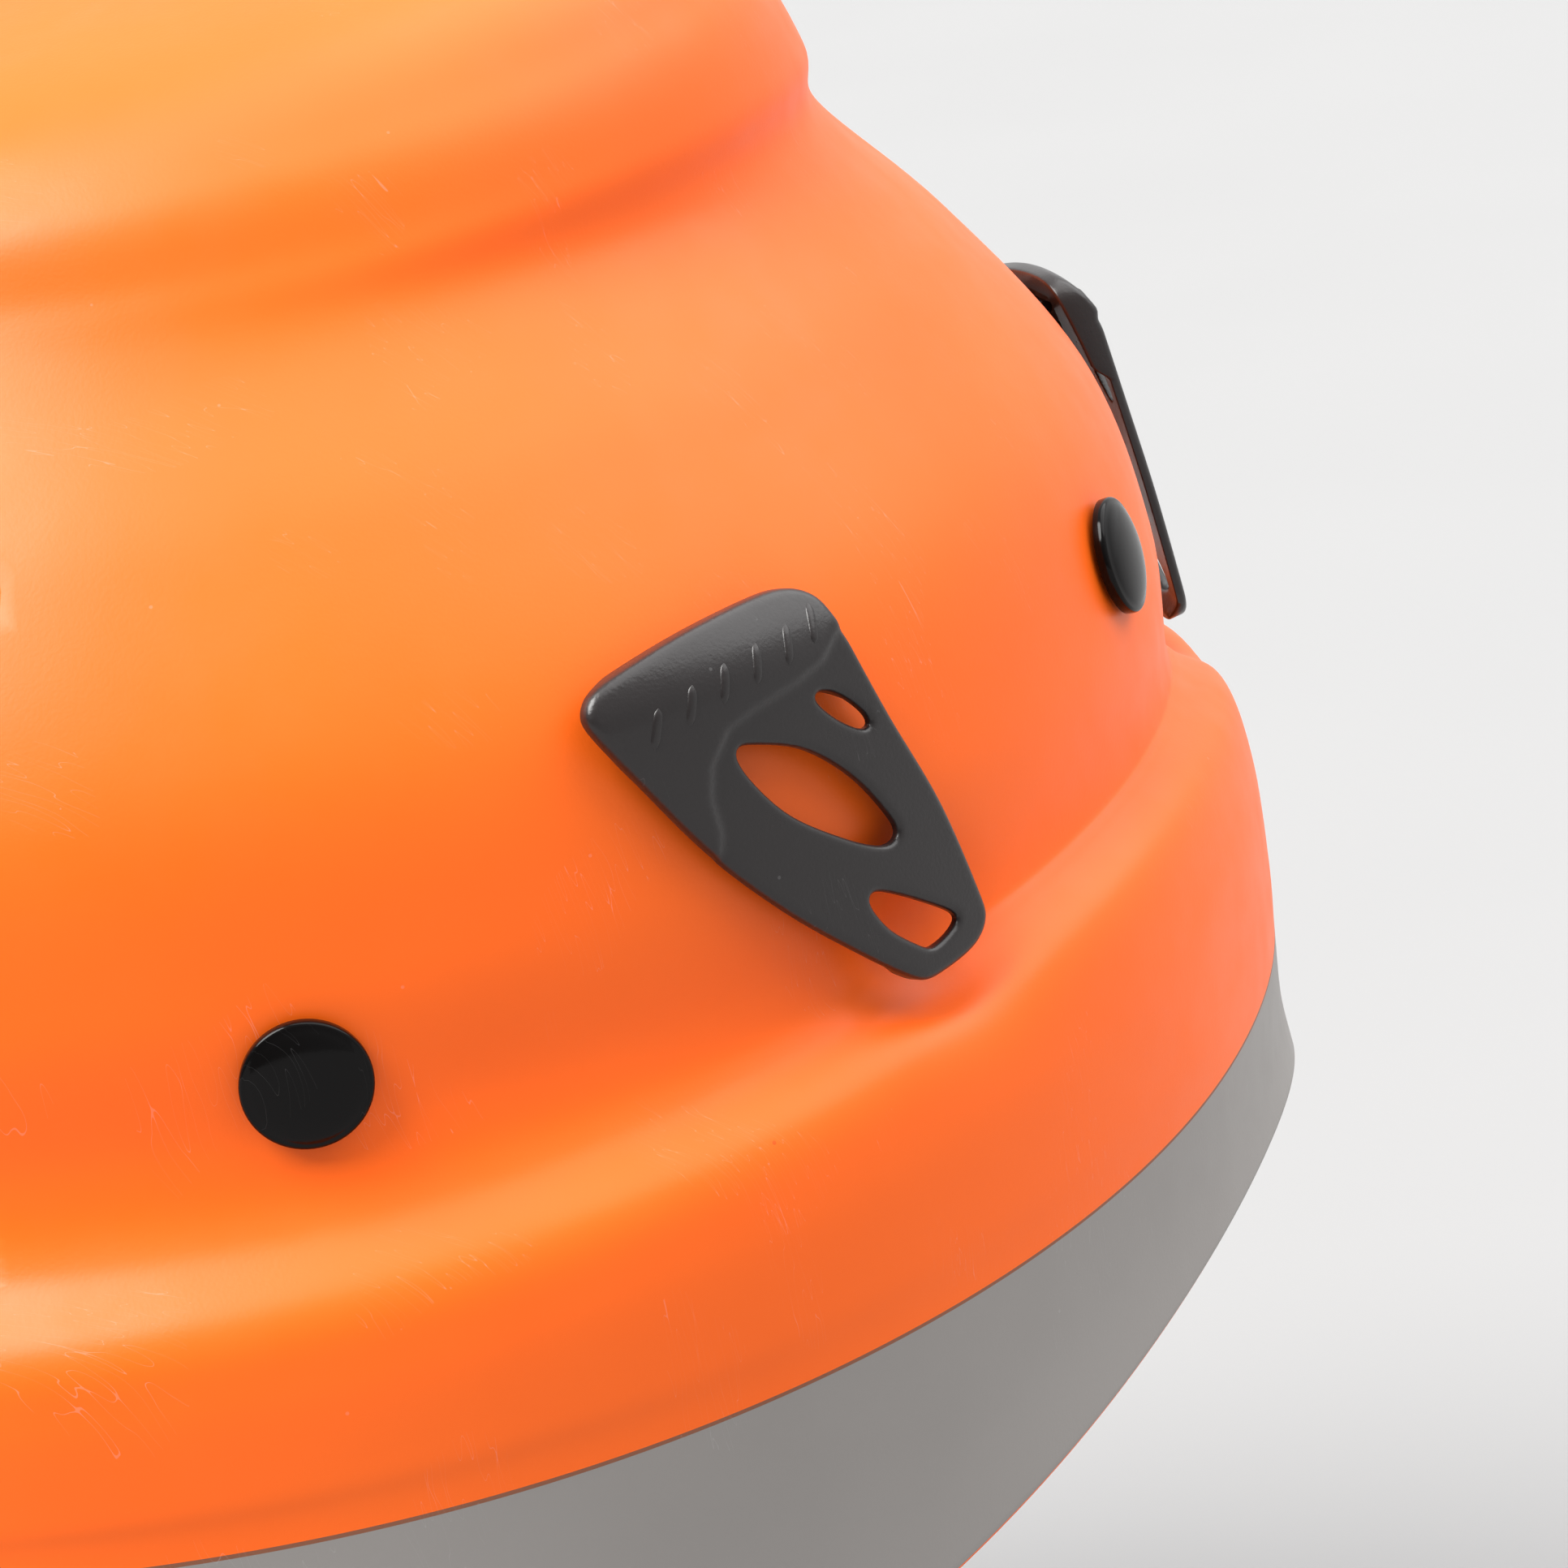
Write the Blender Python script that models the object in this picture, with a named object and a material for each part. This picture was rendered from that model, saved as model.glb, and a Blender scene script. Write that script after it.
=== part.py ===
"""Climbing helmet: an ABS shell on a textile cradle, with headlamp clips, a dial adjuster and a chin strap.

Frame: +Z up, the wearer looks along -Y, and the wearer's right is -X. The origin is the centre of the
headband, where a head holds the helmet. Sizes below are in millimetres; the meshes are in metres.
"""

from math import cos, pi, radians, sin, tau

import bmesh
import bpy
import numpy as np

MM = 0.001

# ---- driving dimensions, mm -------------------------------------------------------------------------
SHELL_T = 2.6  # wall of the shell
SHELL_SHIFT_Y = -27.0  # the shell's polar centre, in front of the head's centre
SHELL_AROUND = 60  # facets round the shell
ARCH_POWER = 3.1  # how quickly the rim drops from its front and rear arches to the sides
# Rows of the shell's outer surface, from the rim to the crown. Each is
# (front reach, side reach, rear reach, front height, side height, rear height).
SHELL_ROWS = (
    (112.8, 122.8, 167.0, -18.0, -42.9, -32.0),  # rim edge
    (112.1, 121.2, 166.0, -12.5, -26.0, -21.0),
    (112.5, 118.8, 165.0, -4.0, -5.6, -5.0),  # edge of the coated band
    (112.8, 118.6, 164.0, 3.5, 0.4, 4.0),
    (112.5, 117.6, 162.5, 15.3, 9.3, 14.0),
    (110.6, 115.6, 160.0, 24.0, 15.5, 21.0),  # shoulder
    (105.9, 109.5, 154.5, 27.6, 21.1, 26.5),
    (104.7, 106.6, 152.0, 30.0, 28.9, 31.0),  # crease over the shoulder
    (104.8, 105.5, 149.5, 43.7, 42.9, 44.0),
    (100.4, 100.9, 141.0, 61.3, 61.5, 62.0),
    (88.4, 88.4, 127.0, 79.4, 79.7, 80.0),
    (75.8, 74.8, 112.0, 94.8, 93.3, 94.0),  # crease under the crown
    (75.5, 68.7, 108.0, 102.8, 100.4, 101.0),
    (71.0, 63.4, 101.0, 112.8, 108.9, 109.5),  # edge of the crown
    (61.0, 49.7, 84.0, 121.6, 117.7, 118.0),
    (31.0, 24.3, 42.0, 126.1, 123.7, 124.0),
    (0.0, 0.0, 0.0, 127.5, 127.5, 127.5),
)
CLIP_DENT = 1.8  # depth of the pocket under each headlamp clip's tip
CLIP_DENT_R = 13.0
CLIP_DENT_AT = (16.0, -22.0)  # its middle, along and up the clip

# Rivets: name, row, angle from the front in degrees; a negative angle is on the wearer's left.
RIVETS = (
    ("front", 8.37, 0),
    ("temple_right", 7.45, 63.4),
    ("temple_left", 7.45, -63.4),
    ("side_right", 7.6, 128),
    ("side_left", 7.6, -128),
    ("rear", 8.0, 180),
)
CAP_R = 6.2
CAP_H = 2.6
SHANK_R = 2.2
SHANK_HOLE_R = 2.6
# Depths under the shell's outer surface at a rivet: the middles of the two webbings, and the washer.
CHIN_LAYER = -4.35
CRADLE_LAYER = -5.65
WASHER = (-6.5, -8.3)
SHANK_END = -8.1

# Vents: row, angle, length along the shell, height, lean in degrees.
VENTS = (
    (6.5, 87.0, 27, 16, -3),
    (7.3, 161.0, 24, 12, 3),
    (10.0, 84.0, 26, 10, 0),
    (10.0, 118.0, 26, 10, 0),
)

# Headlamp clips: place, row, angle, and 1 where the clip's tip leads to the front.
CLIPS = (("front", 8.38, 36.5, 1), ("rear", 8.5, 142.0, -1))
CLIP_OUTLINE = (
    (-17.8, 11.0), (-17.2, 12.8), (-15.0, 14.0), (-6.5, 15.8), (2.5, 16.7), (7.0, 16.5), (9.5, 15.0),
    (10.5, 11.8), (14.0, 2.0), (18.3, -8.4), (21.0, -18.8), (21.1, -21.2), (18.6, -23.2), (12.6, -24.2),
    (10.2, -23.6), (4.3, -18.9), (-2.7, -12.4), (-9.2, -4.6), (-14.6, 4.3),
)
CLIP_EYE = ((-4.6, 4.4), (12.0, -10.2), 3.1)  # ends and half width of the large hole
CLIP_DROP = ((6.6, 5.4), (10.6, 2.3), 1.2)
CLIP_TIP_HOLE = ((6.6, -14.2), (9.3, -14.4), (16.4, -18.6), (16.6, -20.2), (13.2, -21.4), (11.4, -20.6))
CLIP_PIN = (11.6, 0.95, 0.9)  # height along the clip, height over the shell, radius
CLIP_PIN_H = -4.0  # middle of the pin along the clip's top edge
CLIP_PIN_HALF = 4.6
CLIP_HOLLOW = (-13.0, 5.0, 8.0, 14.0)  # left, right, foot and top of the hollow under the head
CLIP_CREST = 9.5
CLIP_HEAD_FOOT = 6.6
CLIP_HEAD_W = 4.6
CLIP_SLOPE = 0.07
CLIP_T = 1.6
CLIP_LIP = (-22.4, 2.9)  # where the tip's inward lip starts, and its depth

# Headband, an open ring whose ends run straight across at the nape.
BAND_PATH = (
    (0, -100, 0), (30, -96.5, 0), (58, -80, 0), (74, -50, 0), (80, -12, 0), (79.5, 25, -4),
    (72, 58, -13), (61, 80, -22), (48, 93, -27.5), (40, 96, -29.5), (30, 97, -30), (20, 97, -30),
)
CRADLE_ARCH = ((0.94, 0.15), (0.82, 0.41), (0.65, 0.67), (0.39, 0.885), (0.2, 0.965))
BAND_H = 28.0
BAND_T = 1.6
BAND_END_H = 24.0

# Dial adjuster at the nape.
DIAL_Z = -30.0
RACK_Y = 100.2
RACK_T = 1.6
PITCH_R = 6.0
TEETH = 12
RACK_REACH = 47.0
RACK_INNER = -20.0
RACK_TOP = 13.0
TOOTH_TIP = 0.7  # how far a rack's tooth reaches past the pitch line
TOOTH_ROOT = 1.2
KNOB_R = 17.0
KNOB_RIBS = 20

# Chin strap.
DIVIDER = (84.0, 14.0, -92.0)
CHIN = (0.0, -34.0, -160.0)
STRAP_W = 18.0
KEEPER_X = 44.5
STRAP_T = 1.1
GAP = 0.4

COLOURS = {
    "shell": ((1.0, 0.17, 0.03), 0.45),
    "black_plastic": ((0.045, 0.040, 0.040), 0.42),
    "rivet": ((0.012, 0.010, 0.010), 0.22),
    "band": ((0.06, 0.06, 0.065), 0.5),
    "webbing": ((0.05, 0.05, 0.055), 0.9),
    "pad": ((0.10, 0.10, 0.11), 0.95),
    "steel": ((0.6, 0.6, 0.6), 0.3),
}


# ---- scene and mesh helpers --------------------------------------------------------------------------
def clear_scene():
    for obj in list(bpy.data.objects):
        bpy.data.objects.remove(obj)


def material(slot):
    found = bpy.data.materials.get(slot)
    if found:
        return found
    made = bpy.data.materials.new(slot)
    made.use_nodes = True
    colour, rough = COLOURS[slot]
    shader = made.node_tree.nodes["Principled BSDF"]
    shader.inputs["Base Color"].default_value = (*colour, 1.0)
    shader.inputs["Roughness"].default_value = rough
    shader.inputs["Metallic"].default_value = 1.0 if slot == "steel" else 0.0
    return made


def make_object(name, verts, faces, slot, origin=(0, 0, 0), cutter=False):
    """An object whose vertices are world millimetres, with its own origin at the point given."""
    start = np.asarray(origin, float)
    mesh = bpy.data.meshes.new(name)
    mesh.from_pydata([tuple((np.asarray(v, float) - start) * MM) for v in verts], [], faces)
    bm = bmesh.new()
    bm.from_mesh(mesh)
    bmesh.ops.recalc_face_normals(bm, faces=bm.faces)
    bm.to_mesh(mesh)
    bm.free()
    mesh.shade_smooth()
    mesh.set_sharp_from_angle(angle=radians(35))
    obj = bpy.data.objects.new(name, mesh)
    obj.location = start * MM
    bpy.context.scene.collection.objects.link(obj)
    if cutter:
        obj.hide_render = True
        obj.display_type = "WIRE"
    else:
        mesh.materials.append(material(slot))
    return obj


def cut(obj, cutter):
    modifier = obj.modifiers.new("cut_" + cutter.name, "BOOLEAN")
    modifier.operation = "DIFFERENCE"
    modifier.solver = "EXACT"
    modifier.object = cutter


def unit(v):
    v = np.asarray(v, float)
    return v / np.linalg.norm(v)


class Frame:
    """A local frame: h and v lie in a face, and w points out of it."""

    def __init__(self, origin, h, v, w):
        self.origin = np.asarray(origin, float)
        self.h, self.v, self.w = (np.asarray(axis, float) for axis in (h, v, w))

    def at(self, h, v, w=0.0):
        return self.origin + h * self.h + v * self.v + w * self.w


def circle(radius, count, centre=(0.0, 0.0), start=0.0):
    angles = [start + tau * i / count for i in range(count)]
    return [(centre[0] + radius * cos(a), centre[1] + radius * sin(a)) for a in angles]


def capsule(start, end, radius, count=5):
    """A slot's outline: two half circles joined by straight sides."""
    start, end = np.asarray(start, float), np.asarray(end, float)
    along = unit(end - start)
    across = np.array((-along[1], along[0]))
    points = []
    for centre, sign in ((end, 1), (start, -1)):
        for i in range(count):
            a = -pi / 2 + pi * i / (count - 1)
            points.append(tuple(centre + sign * radius * (cos(a) * along + sin(a) * across)))
    return points


def almond(start, end, half_width, count=5):
    """An eye-shaped outline with pointed ends."""
    start, end = np.asarray(start, float), np.asarray(end, float)
    along = end - start
    across = unit((-along[1], along[0]))
    sides = []
    for sign in (1, -1):
        steps = range(count) if sign > 0 else range(count, 0, -1)
        for i in steps:
            t = i / count
            sides.append(tuple(start + along * t + sign * half_width * sin(pi * t) ** 0.8 * across))
    return sides


def on_cut(edge, cuts):
    return any(all(abs(v.co[axis] - value) < 1e-3 for v in edge.verts) for axis, value in cuts)


def on_line(vert):
    """Whether the vertex only splits a straight inner edge."""
    one, two = (unit(e.other_vert(vert).co - vert.co) for e in vert.link_edges)
    return not vert.is_boundary and np.dot(one, two) < -0.9999


def flat_region(outline, holes, cuts):
    """The outline less its holes as flat faces, split along the lines given as (axis, value)."""
    bm = bmesh.new()
    edges = []
    for loop in (outline, *holes):
        ring = [bm.verts.new((p[0], p[1], 0.0)) for p in loop]
        edges += [bm.edges.new((ring[i - 1], ring[i])) for i in range(len(ring))]
    bmesh.ops.triangle_fill(bm, use_beauty=True, edges=edges)
    for axis, value in cuts:
        point = (value, 0, 0) if axis == 0 else (0, value, 0)
        normal = (1, 0, 0) if axis == 0 else (0, 1, 0)
        geometry = bm.verts[:] + bm.edges[:] + bm.faces[:]
        bmesh.ops.bisect_plane(bm, geom=geometry, dist=1e-5, plane_co=point, plane_no=normal)
    inner = [e for e in bm.edges if not e.is_boundary and not on_cut(e, cuts)]
    bmesh.ops.dissolve_limit(bm, angle_limit=0.01, use_dissolve_boundaries=False, verts=[], edges=inner)
    spare = [v for v in bm.verts if len(v.link_edges) == 2 and on_line(v)]
    bmesh.ops.dissolve_verts(bm, verts=[v for v in spare if any(abs(v.co[a] - c) < 1e-3 for a, c in cuts)])
    for face in bm.faces:
        if face.normal.z < 0:
            face.normal_flip()
    bm.verts.index_update()
    points = [(v.co.x, v.co.y) for v in bm.verts]
    faces = [[v.index for v in f.verts] for f in bm.faces]
    bm.free()
    return points, faces


def plate(name, outline, holes, cuts, top, bottom, slot, **options):
    """A closed solid: a flat plan whose two sides are placed by the functions top and bottom."""
    points, faces = flat_region(outline, holes, cuts)
    count = len(points)
    verts = [top(a, b) for a, b in points] + [bottom(a, b) for a, b in points]
    used = {(f[i - 1], f[i]) for f in faces for i in range(len(f))}
    sides = [[a, a + count, b + count, b] for a, b in used if (b, a) not in used]
    under = [[i + count for i in reversed(f)] for f in faces]
    return make_object(name, verts, faces + under + sorted(sides), slot, **options)


def turned(name, frame, profile, count, slot, **options):
    """A solid turned about the frame's w axis. The profile runs from the axis to the axis, or is a ring."""
    verts, rings = [], []
    for radius, height in profile:
        if radius < 1e-6:
            rings.append([len(verts)])
            verts.append(frame.at(0, 0, height))
            continue
        rings.append(list(range(len(verts), len(verts) + count)))
        verts += [frame.at(x, y, height) for x, y in circle(radius, count)]
    closed = profile[0][0] > 1e-6
    pairs = list(zip(rings, rings[1:])) + ([(rings[-1], rings[0])] if closed else [])
    faces = []
    for low, high in pairs:
        for i in range(count):
            j = (i + 1) % count
            if len(low) == 1:
                faces.append([low[0], high[i], high[j]])
            elif len(high) == 1:
                faces.append([low[i], high[0], low[j]])
            else:
                faces.append([low[i], high[i], high[j], low[j]])
    return make_object(name, verts, faces, slot, **options)


def block(name, frame, low, high, slot, **options):
    corners = [(h, v, w) for h in (low[0], high[0]) for v in (low[1], high[1]) for w in (low[2], high[2])]
    faces = [[0, 1, 3, 2], [4, 6, 7, 5], [0, 4, 5, 1], [2, 3, 7, 6], [0, 2, 6, 4], [1, 5, 7, 3]]
    return make_object(name, [frame.at(*c) for c in corners], faces, slot, **options)


def smooth_path(points, steps):
    """Points on a Catmull-Rom curve through the ones given."""
    p = np.asarray(points, float)
    p = np.vstack([2 * p[0] - p[1], p, 2 * p[-1] - p[-2]])
    out = []
    for i in range(1, len(p) - 2):
        for t in np.linspace(0, 1, steps, endpoint=False):
            a, b, c, d = p[i - 1 : i + 3]
            out.append(
                0.5 * (2 * b + (c - a) * t + (2 * a - 5 * b + 4 * c - d) * t**2
                       + (3 * b - a - 3 * c + d) * t**3)
            )
    out.append(p[-2])
    return np.array(out)


class Ribbon:
    """A flat strip along a path, with its width direction given at each path point."""

    def __init__(self, path, across):
        self.path = np.asarray(path, float)
        self.across = np.asarray([unit(a) for a in across])
        steps = np.linalg.norm(np.diff(self.path, axis=0), axis=1)
        self.s = np.concatenate([[0.0], np.cumsum(steps)])
        tangents = np.gradient(self.path, self.s, axis=0)
        self.normal = np.array([unit(np.cross(t, a)) for t, a in zip(tangents, self.across)])
        self.length = self.s[-1]

    def at(self, s, q, w):
        def read(table):
            return np.array([np.interp(s, self.s, table[:, k]) for k in range(3)])

        return read(self.path) + q * unit(read(self.across)) + w * unit(read(self.normal))

    def solid(self, name, width, low, high, slot, holes=(), end_r=3.0, stations=None, **options):
        half = width / 2
        outline = []
        for s, q, start in (
            (self.length - end_r, half - end_r, 0.0),
            (end_r, half - end_r, pi / 2),
            (end_r, end_r - half, pi),
            (self.length - end_r, end_r - half, 3 * pi / 2),
        ):
            for i in range(3):
                a = start + pi / 4 * i
                outline.append((s + end_r * cos(a), q + end_r * sin(a)))
        rings = [circle(r, 10, (s, 0.0)) for s, r in holes]
        marks = self.s[1:-1] if stations is None else stations
        cuts = [(0, m) for m in marks if end_r + 0.3 < m < self.length - end_r - 0.3]
        return plate(
            name, outline, rings, cuts,
            lambda s, q: self.at(s, q, high), lambda s, q: self.at(s, q, low), slot, **options,
        )


# ---- shell -------------------------------------------------------------------------------------------
def shell_row(u):
    """The row numbers at u, on a smooth curve through SHELL_ROWS."""
    rows = np.array(SHELL_ROWS)
    i = int(min(max(np.floor(u), 0), len(rows) - 2))
    t = u - i
    a, b, c, d = (rows[min(max(j, 0), len(rows) - 1)] for j in (i - 1, i, i + 1, i + 2))
    return 0.5 * (2 * b + (c - a) * t + (2 * a - 5 * b + 4 * c - d) * t**2 + (3 * b - a - 3 * c + d) * t**3)


def plain_shell_point(u, phi):
    front, side, rear, z_front, z_side, z_rear = shell_row(u)
    reach, z_end, power = (front, z_front, 2.06) if cos(phi) > 0 else (rear, z_rear, 2.3)
    if reach < 1e-6 or side < 1e-6:
        return np.array((0.0, SHELL_SHIFT_Y, z_end))
    radius = ((abs(sin(phi)) / side) ** power + (abs(cos(phi)) / reach) ** power) ** (-1 / power)
    z = z_side + (z_end - z_side) * abs(cos(phi)) ** ARCH_POWER
    return np.array((-radius * sin(phi), SHELL_SHIFT_Y - radius * cos(phi), z))


def plain_shell_normal(u, phi):
    step = 1e-3
    along = plain_shell_point(u + step, phi) - plain_shell_point(u - step, phi)
    around = plain_shell_point(u, phi + step) - plain_shell_point(u, phi - step)
    return unit(np.cross(along, around))


def shell_point(u, phi):
    point = plain_shell_point(u, phi)
    if not 5.2 < u < 8.6:
        return point
    depth = 0.0
    for _, row, angle, sense in CLIPS:
        for side in (1, -1):
            pocket = clip_frame(row, angle, side, sense).at(*CLIP_DENT_AT, -2.0)
            depth += CLIP_DENT * np.exp(-3 * (np.linalg.norm(point - pocket) / CLIP_DENT_R) ** 2)
    return point - depth * plain_shell_normal(u, phi)


def shell_frame(u, degrees):
    """A frame on the shell: h runs level towards the front, v up the shell and w out of it."""
    phi = radians(degrees)
    w = plain_shell_normal(u, phi)
    level = unit(np.cross((0, 0, 1), w))
    h = level if level[1] < 0 or (abs(level[1]) < 1e-9 and level[0] > 0) else -level
    v = np.cross(w, h)
    v = v if v[2] > 0 else -v
    return Frame(plain_shell_point(u, phi), h, v, w)


def make_shell():
    rows = list(range(len(SHELL_ROWS) - 1))
    angles = [tau * i / SHELL_AROUND for i in range(SHELL_AROUND)]
    outer = [[shell_point(u, a) for a in angles] for u in rows]
    inner = [
        [shell_point(u, a) - SHELL_T * plain_shell_normal(max(u, 0.02), a) for a in angles] for u in rows
    ]
    top = plain_shell_point(len(SHELL_ROWS) - 1, 0.0)
    verts = [p for ring in outer + inner for p in ring] + [top, top - (0, 0, SHELL_T)]
    n, k = SHELL_AROUND, len(rows)
    faces = []
    for i in range(n):
        j = (i + 1) % n
        for r in range(k - 1):
            a, b = r * n, (r + 1) * n
            faces.append([a + i, a + j, b + j, b + i])
            faces.append([(k * n) + b + i, (k * n) + b + j, (k * n) + a + j, (k * n) + a + i])
        faces.append([(k - 1) * n + i, (k - 1) * n + j, 2 * k * n])
        faces.append([(2 * k - 1) * n + j, (2 * k - 1) * n + i, 2 * k * n + 1])
        faces.append([k * n + i, k * n + j, j, i])
    shell = make_object("shell", verts, faces, "shell")
    cut(shell, make_shell_cutters())
    return shell


def prism(frame, outline, low, high):
    """The points and faces of a straight prism along w."""
    n = len(outline)
    verts = [frame.at(h, v, w) for w in (low, high) for h, v in outline]
    faces = [list(range(n - 1, -1, -1)), list(range(n, 2 * n))]
    faces += [[i, (i + 1) % n, n + (i + 1) % n, n + i] for i in range(n)]
    return verts, faces


def make_shell_cutters():
    """One guide object with every hole of the shell: vents, rivet holes and clip slots."""
    verts, faces = [], []

    def add(prism_parts):
        more, polygons = prism_parts
        start = len(verts)
        verts.extend(more)
        faces.extend([[i + start for i in polygon] for polygon in polygons])

    for u, degrees, length, height, lean in VENTS:
        reach = (length - height) / 2
        for side in (1, -1):
            a = radians(lean)
            ends = [(-reach * cos(a), -reach * sin(a)), (reach * cos(a), reach * sin(a))]
            add(prism(shell_frame(u, side * degrees), capsule(*ends, height / 2, 6), -12, 12))
    for _, u, degrees in RIVETS:
        add(prism(shell_frame(u, degrees), circle(SHANK_HOLE_R, 12), -6, 6))
    for _, u, degrees, sense in CLIPS:
        for side in (1, -1):
            add(prism(clip_frame(u, degrees, side, sense), foot_section(0.35), -7, 5))
    return make_object("shell_holes", verts, faces, "shell", cutter=True)


# ---- rivets ------------------------------------------------------------------------------------------
def make_rivet(name, u, degrees):
    frame = shell_frame(u, degrees)
    cap = (
        (0.0, CAP_H + 0.3), (CAP_R * 0.45, CAP_H + 0.05), (CAP_R * 0.8, CAP_H * 0.72 + 0.1),
        (CAP_R, 1.1), (CAP_R, 0.35), (SHANK_R, 0.35), (SHANK_R, SHANK_END), (0.0, SHANK_END),
    )
    turned(f"rivet_{name}", frame, cap, 16, "rivet", origin=frame.origin)
    low, high = WASHER[1], WASHER[0]
    bore = SHANK_R + 0.25
    ring = ((bore, high), (CAP_R - 0.2, high), (CAP_R - 0.8, low), (bore, low))
    turned(f"washer_{name}", frame, ring, 12, "black_plastic", origin=frame.origin)


# ---- headlamp clips ----------------------------------------------------------------------------------
def clip_frame(u, degrees, side, sense):
    """The clip's frame on the wearer's right, mirrored on the left; h leads away from the side."""
    frame = shell_frame(u, degrees)
    h = frame.h * sense
    if side < 0:
        flip = np.array((-1, 1, 1))
        return Frame(frame.origin * flip, h * flip, frame.v * flip, frame.w * flip)
    return Frame(frame.origin, h, frame.v, frame.w)


def foot_section(gap):
    half, deep = CLIP_PIN_HALF + gap, 1.0 + gap
    signs = ((-1, -1), (1, -1), (1, 1), (-1, 1))
    return [(CLIP_PIN_H + x * half, CLIP_PIN[0] + y * deep) for x, y in signs]


def sag(h, v):
    """How far the shell has fallen below the clip's frame."""
    return h * h / (2 * 92.0) + v * v / (2 * 105.0)


def clip_top(h, v):
    """Height of the clip's outer face: a full head that falls to the shell, then a straight arm."""
    bow = h * h / 190
    if v > CLIP_CREST:
        return CLIP_HEAD_W - 0.055 * (v - CLIP_CREST) ** 2 - bow
    return CLIP_HEAD_W - CLIP_SLOPE * (CLIP_CREST - v) - bow


def clip_bottom(h, v):
    left, right, low, high = CLIP_HOLLOW
    if left < h < right and low < v < high:
        return clip_top(h, v) - 1.1
    if v > CLIP_HEAD_FOOT:
        return 1.4 - sag(h, v)
    lip, lip_depth = CLIP_LIP
    return clip_top(h, v) - (lip_depth if v < lip else CLIP_T)


def make_clip(place, u, degrees, sense, side):
    frame = clip_frame(u, degrees, side, sense)
    label = f"{place}_{'right' if side > 0 else 'left'}"
    pin_v, pin_w, _ = CLIP_PIN
    holes = [almond(*CLIP_EYE), capsule(*CLIP_DROP, 3), CLIP_TIP_HOLE]
    left, right, low, high = CLIP_HOLLOW
    step = 0.3
    lines_h = [left, left + step, CLIP_PIN_H, right - step, right]
    lines_v = [CLIP_LIP[0], CLIP_LIP[0] + step, -8.0, CLIP_HEAD_FOOT, low, low + step, high - step, high]
    cuts = [(0, x) for x in lines_h] + [(1, y) for y in lines_v]
    plate(
        f"clip_lever_{label}", CLIP_OUTLINE, holes, cuts,
        lambda h, v: frame.at(h, v, clip_top(h, v)), lambda h, v: frame.at(h, v, clip_bottom(h, v)),
        "black_plastic", origin=frame.at(CLIP_PIN_H, pin_v, pin_w),
    )
    foot = clip_foot_profile()
    ends = (CLIP_PIN_H - CLIP_PIN_HALF, CLIP_PIN_H + CLIP_PIN_HALF)
    verts = [frame.at(h, pin_v + v, w) for h in ends for v, w in foot]
    n = len(foot)
    faces = [list(range(n)), list(range(2 * n - 1, n - 1, -1))]
    faces += [[i, n + i, n + (i + 1) % n, (i + 1) % n] for i in range(n)]
    make_object(f"clip_foot_{label}", verts, faces, "black_plastic", origin=frame.origin)


def clip_foot_profile():
    """Side outline of the foot: a round pin over the shell, a web through it and a barb inside."""
    _, pin_w, pin_r = CLIP_PIN
    web, barb_top, barb_end = 0.7, -5.0, -7.0
    angles = [radians(-40 + 260 * i / 8) for i in range(9)]
    pin = [(pin_r * cos(a), pin_w + pin_r * sin(a)) for a in angles]
    flare = barb_top - 0.2
    barb = [(-web, barb_top), (-2.0, flare), (-0.8, barb_end), (0.8, barb_end), (2.0, flare)]
    return [(web, barb_top), *pin, *barb]


# ---- cradle and headband -----------------------------------------------------------------------------
def band_path(steps=3):
    right = smooth_path(BAND_PATH, steps) * (-1, 1, 1)
    left = smooth_path(BAND_PATH, steps)[1:]
    return np.vstack([right[::-1], left])


def band_height(s, length):
    """The band is lower in its straight ends than round the head."""
    end = min(s, length - s) / 60
    t = min(max(end, 0.0), 1.0)
    return BAND_END_H + (BAND_H - BAND_END_H) * t * t * (3 - 2 * t)


def make_band():
    path = band_path()
    ribbon = Ribbon(path, [(0, 0, 1)] * len(path))
    sign = -1 if ribbon.at(ribbon.length / 2, 0, 1)[1] > ribbon.at(ribbon.length / 2, 0, 0)[1] else 1

    def face(offset):
        def place(s, q):
            wide = band_height(s, ribbon.length) / BAND_H
            return ribbon.at(s, q * wide, sign * offset)

        return place

    half, length = BAND_H / 2, ribbon.length
    outline = [(0, -half), (length, -half), (length, half), (0, half)]
    cuts = [(0, s) for s in ribbon.s[1:-1]]
    plate("headband", outline, [], cuts, face(BAND_T / 2), face(-BAND_T / 2), "band")
    middle = length / 2
    reach, inner = 88.0, -BAND_T / 2 - GAP
    pad_outline = [(middle - reach, -12), (middle + reach, -12), (middle + reach, 12), (middle - reach, 12)]
    pad_cuts = [(0, s) for s in ribbon.s if middle - reach + 1 < s < middle + reach - 1]
    plate("brow_pad", pad_outline, [], pad_cuts, face(inner), face(inner - 5.0), "pad")
    return ribbon, sign


def band_point(ribbon, sign, x_sign, y_target, z_up, offset):
    """A point on the band's outer face on one side, where the band passes y_target, and its direction."""
    half = ribbon.length / 2
    side = [s for s in np.linspace(0, ribbon.length, 400) if (s > half) == (x_sign > 0)]
    best = min(side, key=lambda s: abs(ribbon.at(s, 0, 0)[1] - y_target))
    return ribbon.at(best, z_up, sign * offset), unit(ribbon.at(best + 2, 0, 0) - ribbon.at(best - 2, 0, 0))


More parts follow.
